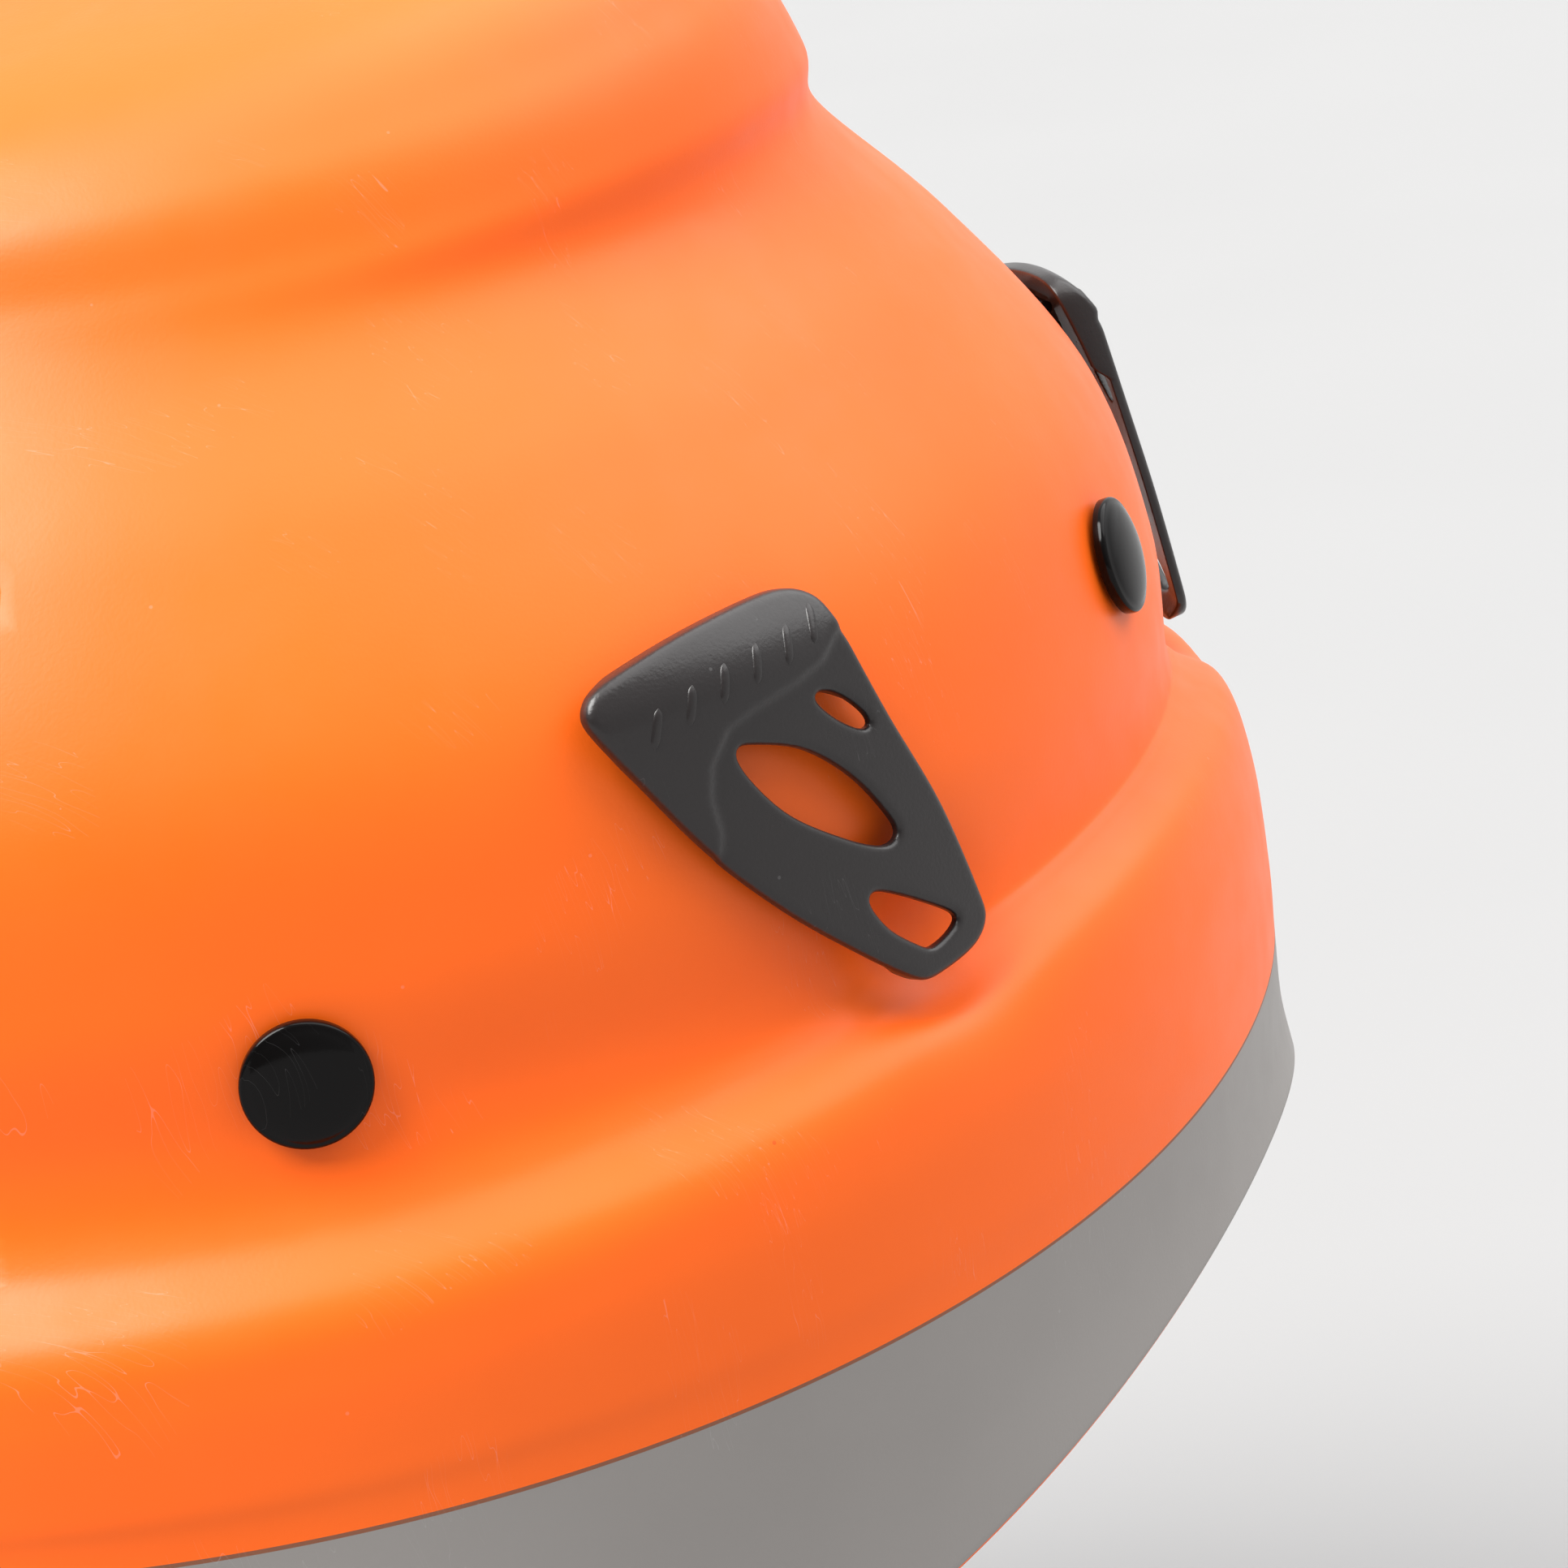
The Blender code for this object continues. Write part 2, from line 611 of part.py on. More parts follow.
def cradle_leg(rivet, band_at, along, crown):
    """The half of a cradle strap from the headband past its rivet to the crown."""
    _, u, degrees = rivet
    frame = shell_frame(u, degrees)
    depth = CRADLE_LAYER
    low, high = frame.at(0, -9, depth), frame.at(0, 9, depth)
    points = [band_at, band_at + (0, 0, 9)]
    middle = (points[-1] + low) / 2
    points += [middle, low, frame.at(0, -4.5, depth), frame.at(0, 0, depth), frame.at(0, 4.5, depth), high]
    rise = crown[2] - high[2]
    for left, risen in CRADLE_ARCH:
        flat = (high[:2] - crown[:2]) * left
        points.append(np.array((crown[0] + flat[0], crown[1] + flat[1], high[2] + rise * risen)))
    along = unit((along[0], along[1], 0))
    along = along if np.dot(along, frame.h) > 0 else -along
    widths = [along, along, unit(along + frame.h)] + [frame.h] * 5
    outward = unit((crown[0] - high[0], crown[1] - high[1], 0))
    level = np.cross((0, 0, 1), outward)
    level = level if np.dot(level, frame.h) > 0 else -level
    widths += [unit(frame.h * (1 - i / 5) + level * i / 5) for i in range(1, 6)]
    return points, widths, 5


def make_cradle_strap(name, ends, crown_z):
    crown = np.array((0.0, 6.0, crown_z))
    legs = [cradle_leg(rivet, np.asarray(at, float), along, crown) for rivet, (at, along) in ends]
    points = legs[0][0] + [crown] + legs[1][0][::-1]
    last = legs[0][1][-1]
    widths = legs[0][1] + [last] + [-w if np.dot(w, last) < 0 else w for w in legs[1][1][::-1]]
    strap = Ribbon(points, widths)
    count = len(points)
    holes = [(strap.s[5], SHANK_R + 0.4), (strap.s[count - 6], SHANK_R + 0.4)]
    avoid = [hole[0] for hole in holes]
    stations = [s for s in strap.s[1:-1] if all(abs(s - a) > 3.2 for a in avoid)]
    strap.solid(name, 16.0, -0.45, 0.45, "webbing", holes=holes, stations=stations)


# ---- dial adjuster -----------------------------------------------------------------------------------
def rack_outline(direction):
    """Plan of a rack in (x, z) from the dial's centre, its teeth towards the pinion below it."""
    pitch = tau * PITCH_R / TEETH
    inner, outer = RACK_INNER, RACK_REACH
    tip, root, half_tip, half_root = PITCH_R - TOOTH_TIP, PITCH_R + TOOTH_ROOT, 0.42, 0.85
    points = [(outer, RACK_TOP), (inner, RACK_TOP), (inner, root)]
    centre = -5.5 * pitch
    while centre + pitch < outer - 12:
        if centre - pitch > inner:
            points += [(centre - half_root, root), (centre - half_tip, tip),
                       (centre + half_tip, tip), (centre + half_root, root)]
        centre += pitch
    points += [(outer - 10, root), (outer - 8, PITCH_R - 2.0), (outer, PITCH_R - 2.0)]
    return [(direction * x, z) for x, z in points]


def make_adjuster():
    dial = Frame((0, 0, DIAL_Z), (1, 0, 0), (0, 0, 1), (0, 1, 0))
    low, high = RACK_Y - RACK_T / 2, RACK_Y + RACK_T / 2

    def slab(name, outline, holes, y_low, y_high, slot, cuts=(), **options):
        return plate(name, outline, holes, cuts, lambda x, z: dial.at(x, z, y_low),
                     lambda x, z: dial.at(x, z, y_high), slot, **options)

    left = [(x, -z) for x, z in rack_outline(1)]
    slab("rack_right", rack_outline(-1), [], low, high, "band", origin=dial.at(-30, 9, RACK_Y))
    slab("rack_left", left, [], low, high, "band", origin=dial.at(30, -9, RACK_Y))
    teeth = []
    for i in range(TEETH):
        a = tau * i / TEETH
        for radius, turn in ((PITCH_R - 1.0, -0.17), (PITCH_R + 0.75, -0.075),
                             (PITCH_R + 0.75, 0.075), (PITCH_R - 1.0, 0.17)):
            teeth.append((radius * cos(a + turn + pi / 2), radius * sin(a + turn + pi / 2)))
    slab("dial_pinion", teeth, [circle(1.8, 12)], low - 0.1, high + 0.1, "black_plastic",
         origin=dial.at(0, 0, RACK_Y))
    body = capsule((-17, 0), (17, 0), 15.5, 9)
    slab("dial_base", body, [circle(3.4, 12)], low - 6.2, low - 3.8, "black_plastic")
    slab("dial_cover", body, [circle(4.4, 16)], high + 0.5, high + 2.5, "black_plastic")
    for side, label in ((1, "upper"), (-1, "lower")):
        rail = [(x, side * z) for x, z in ((-15, 13.5), (15, 13.5), (13, 15.2), (-13, 15.2))]
        slab(f"dial_rail_{label}", rail, [], low - 3.5, high + 0.2, "black_plastic")
    knob_low, knob_high = high + 2.9, high + 11.0
    grip = []
    for i in range(KNOB_RIBS):
        a = tau * i / KNOB_RIBS
        for radius, turn in ((KNOB_R, -0.07), (KNOB_R, 0.07), (KNOB_R - 1.2, 0.157)):
            grip.append((radius * cos(a + turn), radius * sin(a + turn)))
    slab("dial_wheel", grip, [], knob_low, knob_high, "black_plastic", origin=dial.at(0, 0, knob_low))
    stem = Frame(dial.origin, dial.h, -dial.v, dial.w)
    hub = dial.at(0, 0, RACK_Y)
    stem_low, stem_high = high + 0.4, knob_low - 0.3
    rod = ((0, stem_low), (4.0, stem_low), (4.0, stem_high), (0, stem_high))
    turned("dial_stem", stem, rod, 16, "black_plastic", origin=hub)
    screw = ((0, low - 5.8), (3.0, low - 5.8), (3.0, low - 4.0), (1.5, low - 4.0), (1.5, high + 0.1),
             (0, high + 0.1))
    turned("dial_screw", stem, screw, 12, "steel", origin=hub)
    pad = capsule((-16, 0), (16, 0), 14.0, 7)
    slab("nape_pad", pad, [], low - 12.0, low - 6.6, "pad")


# ---- chin strap --------------------------------------------------------------------------------------
def chin_axes():
    """The chin loop's width direction and its outward direction at the bottom."""
    up = unit((0, DIVIDER[1] - CHIN[1], DIVIDER[2] - CHIN[2]))
    across = np.cross((1, 0, 0), up)
    return across, -up


def make_upper_strap(name, rivet, side, at_divider):
    _, u, degrees = rivet
    frame = shell_frame(u, degrees)
    depth = CHIN_LAYER
    across, _ = chin_axes()
    start = [frame.at(0, 9, depth), frame.at(0, 4.5, depth), frame.at(0, 0, depth), frame.at(0, -4.5, depth),
             frame.at(0, -9, depth)]
    end = np.asarray(at_divider, float)
    lean = unit(start[-1] - end)
    low = end + lean * 22
    middle = [start[-1] * (1 - t) + low * t + (side * 2.0 * sin(pi * t), 0, 0) for t in (0.25, 0.5, 0.75)]
    points = start + middle + [low, end]
    last = unit(np.cross(lean, (side, 0, 0)))
    last = last if np.dot(last, frame.h) > 0 else -last
    widths = [frame.h] * 5 + [unit(frame.h * (1 - t) + last * t) for t in (0.25, 0.5, 0.75)] + [last, last]
    strap = Ribbon(points, widths)
    holes = [(strap.s[2], SHANK_R + 0.4)]
    stations = [s for s in strap.s[1:-1] if abs(s - holes[0][0]) > 3.2]
    strap.solid(name, STRAP_W - 2, -0.45, 0.45, "webbing", holes=holes, stations=stations)


def make_chin_strap():
    across, out = chin_axes()
    chin = Frame(CHIN, (1, 0, 0), across, out)
    by_name = {rivet[0]: rivet for rivet in RIVETS}
    for side, label in ((-1, "right"), (1, "left")):
        top = np.array((side * DIVIDER[0], DIVIDER[1], DIVIDER[2]))
        for place, y in (("temple", -7.0), ("side", 7.0)):
            end = top + (side * 1.9, 0, 0) + (0, y * 1.25, 11)
            make_upper_strap(f"strap_{place}_{label}", by_name[f"{place}_{label}"], side, end)
        divider = Frame(top, across * side, unit(np.cross((1, 0, 0), across)), (side, 0, 0))
        shape = [(-16, 14), (16, 14), (18, 11), (10, -13), (8, -15), (-8, -15), (-10, -13), (-18, 11)]
        plate(f"strap_divider_{label}", shape, [], [], lambda h, v, f=divider: f.at(h, v, 1.0),
              lambda h, v, f=divider: f.at(h, v, -1.4), "black_plastic", origin=top)
        bar = 32.5
        loop = [(bar + 30, 3.1), (bar + 20, 2.9), (bar + 6, 2.9)]
        loop += [(bar - 2.9 * sin(radians(a)), 2.9 * cos(radians(a))) for a in range(0, 181, 36)]
        loop += [(bar + 6, -2.9), (bar + 19, -2.9)]
        points = [chin.at(side * x, 0, w) for x, w in loop]
        up_at = np.array((side * (DIVIDER[0] + 1.9), top[1], top[2])) - out * -4.0
        bend = [chin.at(side * 61, 0, -6.5), chin.at(side * 73, 0, -18), chin.at(side * 81, 0, -36),
                chin.at(side * 85, 0, -55)]
        points += bend + [up_at]
        path = smooth_path(points, 2)
        strap = Ribbon(path, [across] * len(path))
        strap.solid(f"strap_lower_{label}", STRAP_W, -STRAP_T / 2, STRAP_T / 2, "webbing", end_r=1.5)
    make_buckle(chin)


def make_buckle(chin):
    origin = chin.origin
    socket = block("buckle_socket", chin, (-22, -14, -4.5), (4, 14, 4.5), "black_plastic", origin=origin)
    cut(socket, block("socket_hollow", chin, (-18, -12, -2.8), (6, 12, 2.8), "steel", cutter=True))
    cut(socket, block("socket_windows", chin, (-15.5, -16, -2.8), (-5, 16, 2.8), "steel", cutter=True))
    slot = [(-31, -9.8), (-28.2, -9.8), (-28.2, 9.8), (-31, 9.8)]
    frame_r = [(-34, -13), (-22.4, -13), (-22.4, 13), (-34, 13)]
    plate("buckle_socket_bar", frame_r, [slot], [], lambda x, b: chin.at(x, b, 1.4),
          lambda x, b: chin.at(x, b, -1.4), "black_plastic", origin=origin)
    mirror_slot = [(-x, b) for x, b in slot]
    half = [(34, 13), (4.6, 13), (4.6, 8.0), (2, 8.0), (2, 3.5), (-15, 2.0)]
    frame_l = half + [(x, -b) for x, b in reversed(half)]
    plate("buckle_plug", frame_l, [mirror_slot], [], lambda x, b: chin.at(x, b, 1.4),
          lambda x, b: chin.at(x, b, -1.4), "black_plastic", origin=origin)
    for sign, label in ((1, "front"), (-1, "rear")):
        arm = [(1.4, 7.6), (1.4, 4.4), (-4, 5.6), (-13, 7.2), (-15, 9.5), (-14.2, 12.6), (-6.2, 13.0),
               (-5.8, 11.2), (-3.5, 9.0)]
        arm = [(x, sign * b) for x, b in arm]
        plate(f"buckle_latch_{label}", arm, [], [], lambda x, b: chin.at(x, b, 1.4),
              lambda x, b: chin.at(x, b, -1.4), "black_plastic", origin=chin.at(1.4, sign * 6.0, 0))
    keeper = block("strap_keeper", chin, (KEEPER_X - 2.5, -11.2, -5.2), (KEEPER_X + 2.5, 11.2, 5.2),
                   "black_plastic", origin=chin.at(KEEPER_X, 0, 0))
    cut(keeper, block("keeper_hole", chin, (KEEPER_X - 5, -9.6, -3.9), (KEEPER_X + 5, 9.6, 3.9), "steel",
                      cutter=True))


def main():
    clear_scene()
    make_shell()
    for rivet in RIVETS:
        make_rivet(*rivet)
    for place, u, degrees, sense in CLIPS:
        for side in (1, -1):
            make_clip(place, u, degrees, sense, side)
    ribbon, sign = make_band()
    by_name = {rivet[0]: rivet for rivet in RIVETS}
    outer = BAND_T / 2 + 1.2
    make_cradle_strap("cradle_strap_long", (
        (by_name["front"], ((0, -100 - outer, 4), (1, 0, 0))),
        (by_name["rear"], ((0, RACK_Y + 9.4, -8), (1, 0, 0)))), 96.5)
    make_cradle_strap("cradle_strap_right", (
        (by_name["temple_right"], band_point(ribbon, sign, -1, -48, 4, outer)),
        (by_name["side_left"], band_point(ribbon, sign, 1, 60, 4, outer))), 98.7)
    make_cradle_strap("cradle_strap_left", (
        (by_name["temple_left"], band_point(ribbon, sign, 1, -48, 4, outer)),
        (by_name["side_right"], band_point(ribbon, sign, -1, 60, 4, outer))), 101.0)
    make_adjuster()
    make_chin_strap()


if __name__ == "__main__":
    main()
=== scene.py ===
"""Climbing helmet: the visual model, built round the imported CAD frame.

Frame: +Z up, the wearer looks along -Y, and the wearer's right is -X. Sizes are in millimetres unless a
name says otherwise, and meshes are in metres.
"""

from math import cos, pi, radians, sin, tau

import bmesh
import bpy
import numpy as np
from mathutils import Matrix, Vector
from mathutils.bvhtree import BVHTree
from mathutils.geometry import delaunay_2d_cdt


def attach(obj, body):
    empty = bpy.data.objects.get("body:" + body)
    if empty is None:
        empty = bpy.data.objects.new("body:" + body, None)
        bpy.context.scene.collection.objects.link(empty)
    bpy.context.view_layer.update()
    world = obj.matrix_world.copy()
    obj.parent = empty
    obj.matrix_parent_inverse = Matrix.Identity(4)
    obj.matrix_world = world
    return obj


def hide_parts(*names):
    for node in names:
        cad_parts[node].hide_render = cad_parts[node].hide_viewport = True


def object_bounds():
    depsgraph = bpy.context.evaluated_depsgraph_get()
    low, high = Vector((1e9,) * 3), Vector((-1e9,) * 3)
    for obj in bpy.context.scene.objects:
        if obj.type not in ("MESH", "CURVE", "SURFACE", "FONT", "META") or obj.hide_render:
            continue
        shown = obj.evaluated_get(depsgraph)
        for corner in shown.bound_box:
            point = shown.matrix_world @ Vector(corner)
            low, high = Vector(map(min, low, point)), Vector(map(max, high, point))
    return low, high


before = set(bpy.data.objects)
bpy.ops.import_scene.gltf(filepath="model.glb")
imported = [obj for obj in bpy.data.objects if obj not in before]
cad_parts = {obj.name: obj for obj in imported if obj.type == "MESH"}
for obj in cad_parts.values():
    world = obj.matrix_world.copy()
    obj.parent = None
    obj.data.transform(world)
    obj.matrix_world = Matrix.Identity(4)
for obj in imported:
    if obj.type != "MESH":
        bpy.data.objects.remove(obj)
CAD_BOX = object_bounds()
MM = 0.001

# ---- the helmet's dimensions, as in the CAD ----------------------------------------------------------
SHELL_T = 2.6
SHELL_SHIFT_Y = -27.0
ARCH_POWER = 3.1
# Rows of the outer surface from the rim to the crown: reach in front, at the side and behind, then heights.
SHELL_ROWS = np.array((
    (112.8, 122.8, 167.0, -18.0, -42.9, -32.0),
    (112.1, 121.2, 166.0, -12.5, -26.0, -21.0),
    (112.5, 118.8, 165.0, -4.0, -5.6, -5.0),
    (112.8, 118.6, 164.0, 3.5, 0.4, 4.0),
    (112.5, 117.6, 162.5, 15.3, 9.3, 14.0),
    (110.6, 115.6, 160.0, 24.0, 15.5, 21.0),
    (105.9, 109.5, 154.5, 27.6, 21.1, 26.5),
    (104.7, 106.6, 152.0, 30.0, 28.9, 31.0),
    (104.8, 105.5, 149.5, 43.7, 42.9, 44.0),
    (100.4, 100.9, 141.0, 61.3, 61.5, 62.0),
    (88.4, 88.4, 127.0, 79.4, 79.7, 80.0),
    (75.8, 74.8, 112.0, 94.8, 93.3, 94.0),
    (75.5, 68.7, 108.0, 102.8, 100.4, 101.0),
    (71.0, 63.4, 101.0, 112.8, 108.9, 109.5),
    (61.0, 49.7, 84.0, 121.6, 117.7, 118.0),
    (31.0, 24.3, 42.0, 126.1, 123.7, 124.0),
    (0.0, 0.0, 0.0, 127.5, 127.5, 127.5),
))
APEX = len(SHELL_ROWS) - 1
# The grey coating ends at this row, with a thin line above it.
BAND_EDGE = 2.0
EDGE_LINE = 0.035
CLIP_DENT = 3.1
CLIP_DENT_R = 13.0
CLIP_DENT_AT = (16.0, -22.0)
# Each rivet's place on the shell: its row, and its angle from the front towards the wearer's right.
RIVETS = {
    "front": (8.37, 0),
    "temple_right": (7.45, 63.4),
    "temple_left": (7.45, -63.4),
    "side_right": (7.6, 128),
    "side_left": (7.6, -128),
    "rear": (8.0, 180),
}
CAP_R = 6.2
SHANK_R = 2.2
CHIN_LAYER = -4.35
CRADLE_LAYER = -5.65
WASHER = (-6.5, -8.3)
SHANK_END = -8.1
# Vents: row, angle, length, height and lean in degrees.
VENTS = (
    (6.5, 87.0, 27, 16, -3),
    (7.3, 161.0, 24, 12, 3),
    (10.0, 84.0, 26, 10, 0),
    (10.0, 118.0, 26, 10, 0),
)
# Clips: name, row, angle, and which way the plan's h axis runs.
CLIPS = (("front", 8.38, 36.5, 1), ("rear", 8.5, 142.0, -1))
CLIP_OUTLINE = (
    (-17.9, 10.4), (-17.6, 12.3), (-15.4, 13.9), (-6.5, 15.8), (2.5, 16.7), (7.0, 16.5), (9.5, 15.0),
    (10.5, 11.8), (14.0, 2.0), (18.3, -8.4), (21.0, -18.8), (21.1, -21.2), (18.6, -23.2), (12.6, -24.2),
    (10.2, -23.6), (4.3, -18.9), (-2.7, -12.4), (-9.2, -4.6), (-14.6, 4.3),
)
CLIP_EYE = (
    (-4.4, 4.2), (-1.9, 3.9), (3.3, 1.7), (8.2, -2.7), (11.6, -7.9), (11.9, -9.6), (9.9, -10.0), (5.7, -7.9),
    (-0.1, -3.6), (-3.6, 1.2),
)
CLIP_DROP = ((5.4, 6.3), (7.6, 6.1), (10.2, 4.0), (11.7, 1.8), (10.5, 1.4), (7.4, 3.6))
CLIP_TIP_HOLE = (
    (6.5, -14.1), (9.1, -14.4), (16.6, -19.0), (16.6, -20.3), (13.2, -21.4), (11.7, -20.7), (8.2, -17.7),
)
# Lower edge of the clip's raised pad, from its outer side to its inner side.
CLIP_PAD_EDGE = (
    (13.0, 12.6), (9.8, 11.4), (7.0, 9.3), (3.7, 8.3), (-1.9, 7.3), (-5.0, 6.4), (-7.5, 3.6), (-8.3, 0.7),
    (-8.1, -2.9), (-9.5, -6.5),
)
# Middles of the short slanted ribs on the pad.
CLIP_RIBS = ((-12.2, 8.7), (-8.3, 9.7), (-4.4, 10.6), (-0.4, 11.3), (3.6, 11.9), (7.2, 12.9))
CLIP_EDGE_R = 0.75
CLIP_HOLLOW = (-13.0, 5.0, 8.0, 14.0)
CLIP_CREST = 9.5
CLIP_HEAD_FOOT = 6.6
CLIP_HEAD_W = 4.6
CLIP_SLOPE = 0.07
CLIP_T = 1.6
CLIP_LIP = (-22.4, 2.9)
BAND_PATH = (
    (0, -100, 0), (30, -96.5, 0), (58, -80, 0), (74, -50, 0), (80, -12, 0), (79.5, 25, -4),
    (72, 58, -13), (61, 80, -22), (48, 93, -27.5), (40, 96, -29.5), (30, 97, -30), (20, 97, -30),
)
CRADLE_ARCH = ((0.94, 0.15), (0.82, 0.41), (0.65, 0.67), (0.39, 0.885), (0.2, 0.965))
BAND_H = 28.0
BAND_T = 1.6
BAND_END_H = 24.0
RACK_Y = 100.2
DIAL_Z = -30.0
# The cradle's webbing stands this far out from the middle of the headband's wall.
CRADLE_OFF = BAND_T / 2 + 1.2
DIVIDER = (84.0, 14.0, -92.0)
CHIN = (0.0, -34.0, -160.0)
STRAP_W = 18.0
STRAP_T = 1.1
BUCKLE_BAR = 32.5


# ---- node materials ----------------------------------------------------------------------------------
class Shader:
    """A short way to write a node tree."""

    def __init__(self, name):
        self.material = bpy.data.materials.new(name)
        self.material.use_nodes = True
        self.tree = self.material.node_tree
        self.principled = self.tree.nodes["Principled BSDF"]
        coordinates = self.tree.nodes.new("ShaderNodeTexCoord")
        self.place, self.uv = coordinates.outputs["Object"], coordinates.outputs["UV"]

    def set(self, **values):
        """Constants, directly on the shader's sockets."""
        for key, value in values.items():
            self.principled.inputs[key.replace("_", " ")].default_value = value

    def link(self, value, key):
        self.tree.links.new(value, self.principled.inputs[key])

    def node(self, kind, inputs, **settings):
        made = self.tree.nodes.new("ShaderNode" + kind)
        for key, value in settings.items():
            setattr(made, key, value)
        for key, value in inputs.items():
            if isinstance(value, bpy.types.NodeSocket):
                self.tree.links.new(value, made.inputs[key])
            else:
                made.inputs[key].default_value = value
        return made

    def math(self, operation, *values):
        return self.node("Math", dict(enumerate(values)), operation=operation).outputs[0]

    def times(self, one, two):
        return self.math("MULTIPLY", one, two)

    def plus(self, one, two):
        return self.math("ADD", one, two)

    def noise(self, scale, detail=2.0, stretch=None, rotation=(0, 0, 0)):
        where = self.place
        if stretch:
            where = self.node("Mapping", {"Vector": where, "Scale": stretch, "Rotation": rotation}).outputs[0]
        return self.node("TexNoise", {"Vector": where, "Scale": scale, "Detail": detail}).outputs["Fac"]

    def ramp(self, value, *stops):
        """A ramp with two stops, each a place and a colour or a grey level."""
        made = self.node("ValToRGB", {"Fac": value})
        for element, (position, colour) in zip(made.color_ramp.elements, stops):
            element.position = position
            element.color = (*colour, 1.0) if isinstance(colour, tuple) else (colour,) * 3 + (1.0,)
        return made.outputs["Color"]

    def mix(self, factor, base, colour):
        return self.node("Mix", {0: factor, 6: base, 7: (*colour, 1.0)}, data_type="RGBA").outputs[2]

    def bump(self, height, distance):
        self.link(self.node("Bump", {"Height": height, "Distance": distance}).outputs["Normal"], "Normal")


def shade(colour, factor, lift=0.0):
    return tuple(min(1.0, c * factor + lift) for c in colour)


def specks(shader, scale, size, keep):
    """Sparse round specks: 1 inside a speck. keep is the share of cells that have one."""
    cells = shader.node("TexVoronoi", {"Vector": shader.place, "Scale": scale})
    draw = shader.node("SeparateColor", {"Color": cells.outputs["Color"]}).outputs[0]
    return shader.times(shader.math("LESS_THAN", draw, keep),
                        shader.math("LESS_THAN", cells.outputs["Distance"], size))


def hairlines(shader, seed_turn, keep):
    """Short, thin scratches that lie one way."""
    turn = (0.4, seed_turn, 0.9)
    lines = shader.noise(1.0, 0.0, stretch=(2600.0, 130.0, 130.0), rotation=turn)
    patches = shader.noise(1.0, 0.0, stretch=(90.0, 60.0, 60.0), rotation=turn)
    thin = shader.math("LESS_THAN", shader.math("ABSOLUTE", shader.math("SUBTRACT", lines, 0.5)), 0.004)
    return shader.times(thin, shader.math("GREATER_THAN", patches, keep))


def moulded_plastic(name, colour, roughness, grain=0.00003, dust=0.3, scratch=0.35, specular=0.5):
    """Slightly uneven plastic with pale dust, dark specks and hairline scratches."""
    shader = Shader(name)
    shader.set(Roughness=roughness, Specular_IOR_Level=specular)
    dark, light, pale = shade(colour, 0.955), shade(colour, 1.05, 0.002), shade(colour, 0.75, 0.2)
    base = shader.ramp(shader.noise(22.0, 3.0), (0.3, dark), (0.7, light))
    base = shader.mix(shader.times(specks(shader, 310.0, 0.055, 0.06), dust), base, pale)
    base = shader.mix(shader.times(specks(shader, 170.0, 0.035, 0.05), 0.55), base, shade(colour, 0.4))
    marks = shader.math("MAXIMUM", hairlines(shader, 0.5, 0.66), hairlines(shader, 1.9, 0.68))
    shader.link(shader.mix(shader.times(marks, scratch), base, pale), "Base Color")
    rough = shader.ramp(shader.noise(160.0, 4.0), (0.3, roughness - 0.035), (0.7, roughness + 0.035))
    shader.link(shader.plus(rough, shader.times(marks, 0.12)), "Roughness")
    shader.bump(shader.plus(shader.noise(2600.0), shader.times(shader.noise(260.0), 0.6)), grain)
    return shader.material


def webbing_material(name, colour):
    """Woven polyester tape. It reads the ribbon's map: along the tape, then across it, in millimetres."""
    shader = Shader(name)
    shader.set(Sheen_Weight=0.25, Sheen_Roughness=0.4, Specular_IOR_Level=0.3)
    parts = shader.node("SeparateXYZ", {"Vector": shader.uv})
    column = shader.math("DIVIDE", parts.outputs[1], 1.15)
    odd = shader.math("MODULO", shader.math("ABSOLUTE", shader.math("FLOOR", column)), 2.0)
    flip = shader.times(odd, pi)
    lean = shader.times(shader.math("SUBTRACT", shader.math("FRACT", column), 0.5), 1.4)
    phase = shader.plus(shader.times(parts.outputs[0], tau / 1.5), flip)
    rib = shader.math("SINE", shader.plus(phase, shader.times(lean, shader.math("COSINE", flip))))
    barrel = shader.math("SINE", shader.times(shader.math("FRACT", column), pi))
    weave = shader.times(shader.plus(shader.times(rib, 0.35), 0.65), barrel)
    fuzz = shader.noise(2400.0, 3.0)
    height = shader.plus(weave, shader.times(fuzz, 0.25))
    # Painted shade and highlight: the colour follows the weave's height, darker in the hollows between the
    # yarns and lighter on their crests.
    tone = shader.ramp(height, (0.1, shade(colour, 0.4)), (0.9, shade(colour, 1.35)))
    worn = shader.times(shader.noise(60.0), 0.25)
    shader.link(shader.mix(worn, tone, shade(colour, 1.5)), "Base Color")
    shader.link(shader.plus(shader.times(fuzz, 0.15), 0.66), "Roughness")
    shader.bump(height, 0.00022)
    return shader.material


def knit_material(name, colour, pitch=0.9):
    """Brushed knit over foam, with its pitch in millimetres."""
    shader = Shader(name)
    shader.set(Sheen_Weight=0.35, Sheen_Roughness=0.5, Specular_IOR_Level=0.2)
    wobble = shader.times(shader.noise(300.0), 1.6)
    parts = shader.node("SeparateXYZ", {"Vector": shader.place})
    waves = []
    for axis in (0, 2):
        turn = shader.times(parts.outputs[axis], tau * 1000.0 / pitch)
        waves.append(shader.math("SINE", shader.plus(turn, wobble)))
    fuzz = shader.noise(2600.0, 3.0)
    height = shader.plus(shader.times(shader.times(*waves), 0.5), fuzz)
    # Painted shade and highlight: the colour follows the knit's height, darker in its hollows and lighter on
    # the tops of the loops.
    tone = shader.ramp(height, (0.0, shade(colour, 0.5)), (1.0, shade(colour, 1.3)))
    shadow = shader.times(shader.noise(45.0), 0.3)
    shader.link(shader.mix(shadow, tone, shade(colour, 0.6)), "Base Color")
    shader.link(shader.plus(shader.times(fuzz, 0.1), 0.82), "Roughness")
    shader.bump(height, 0.00018)
    return shader.material


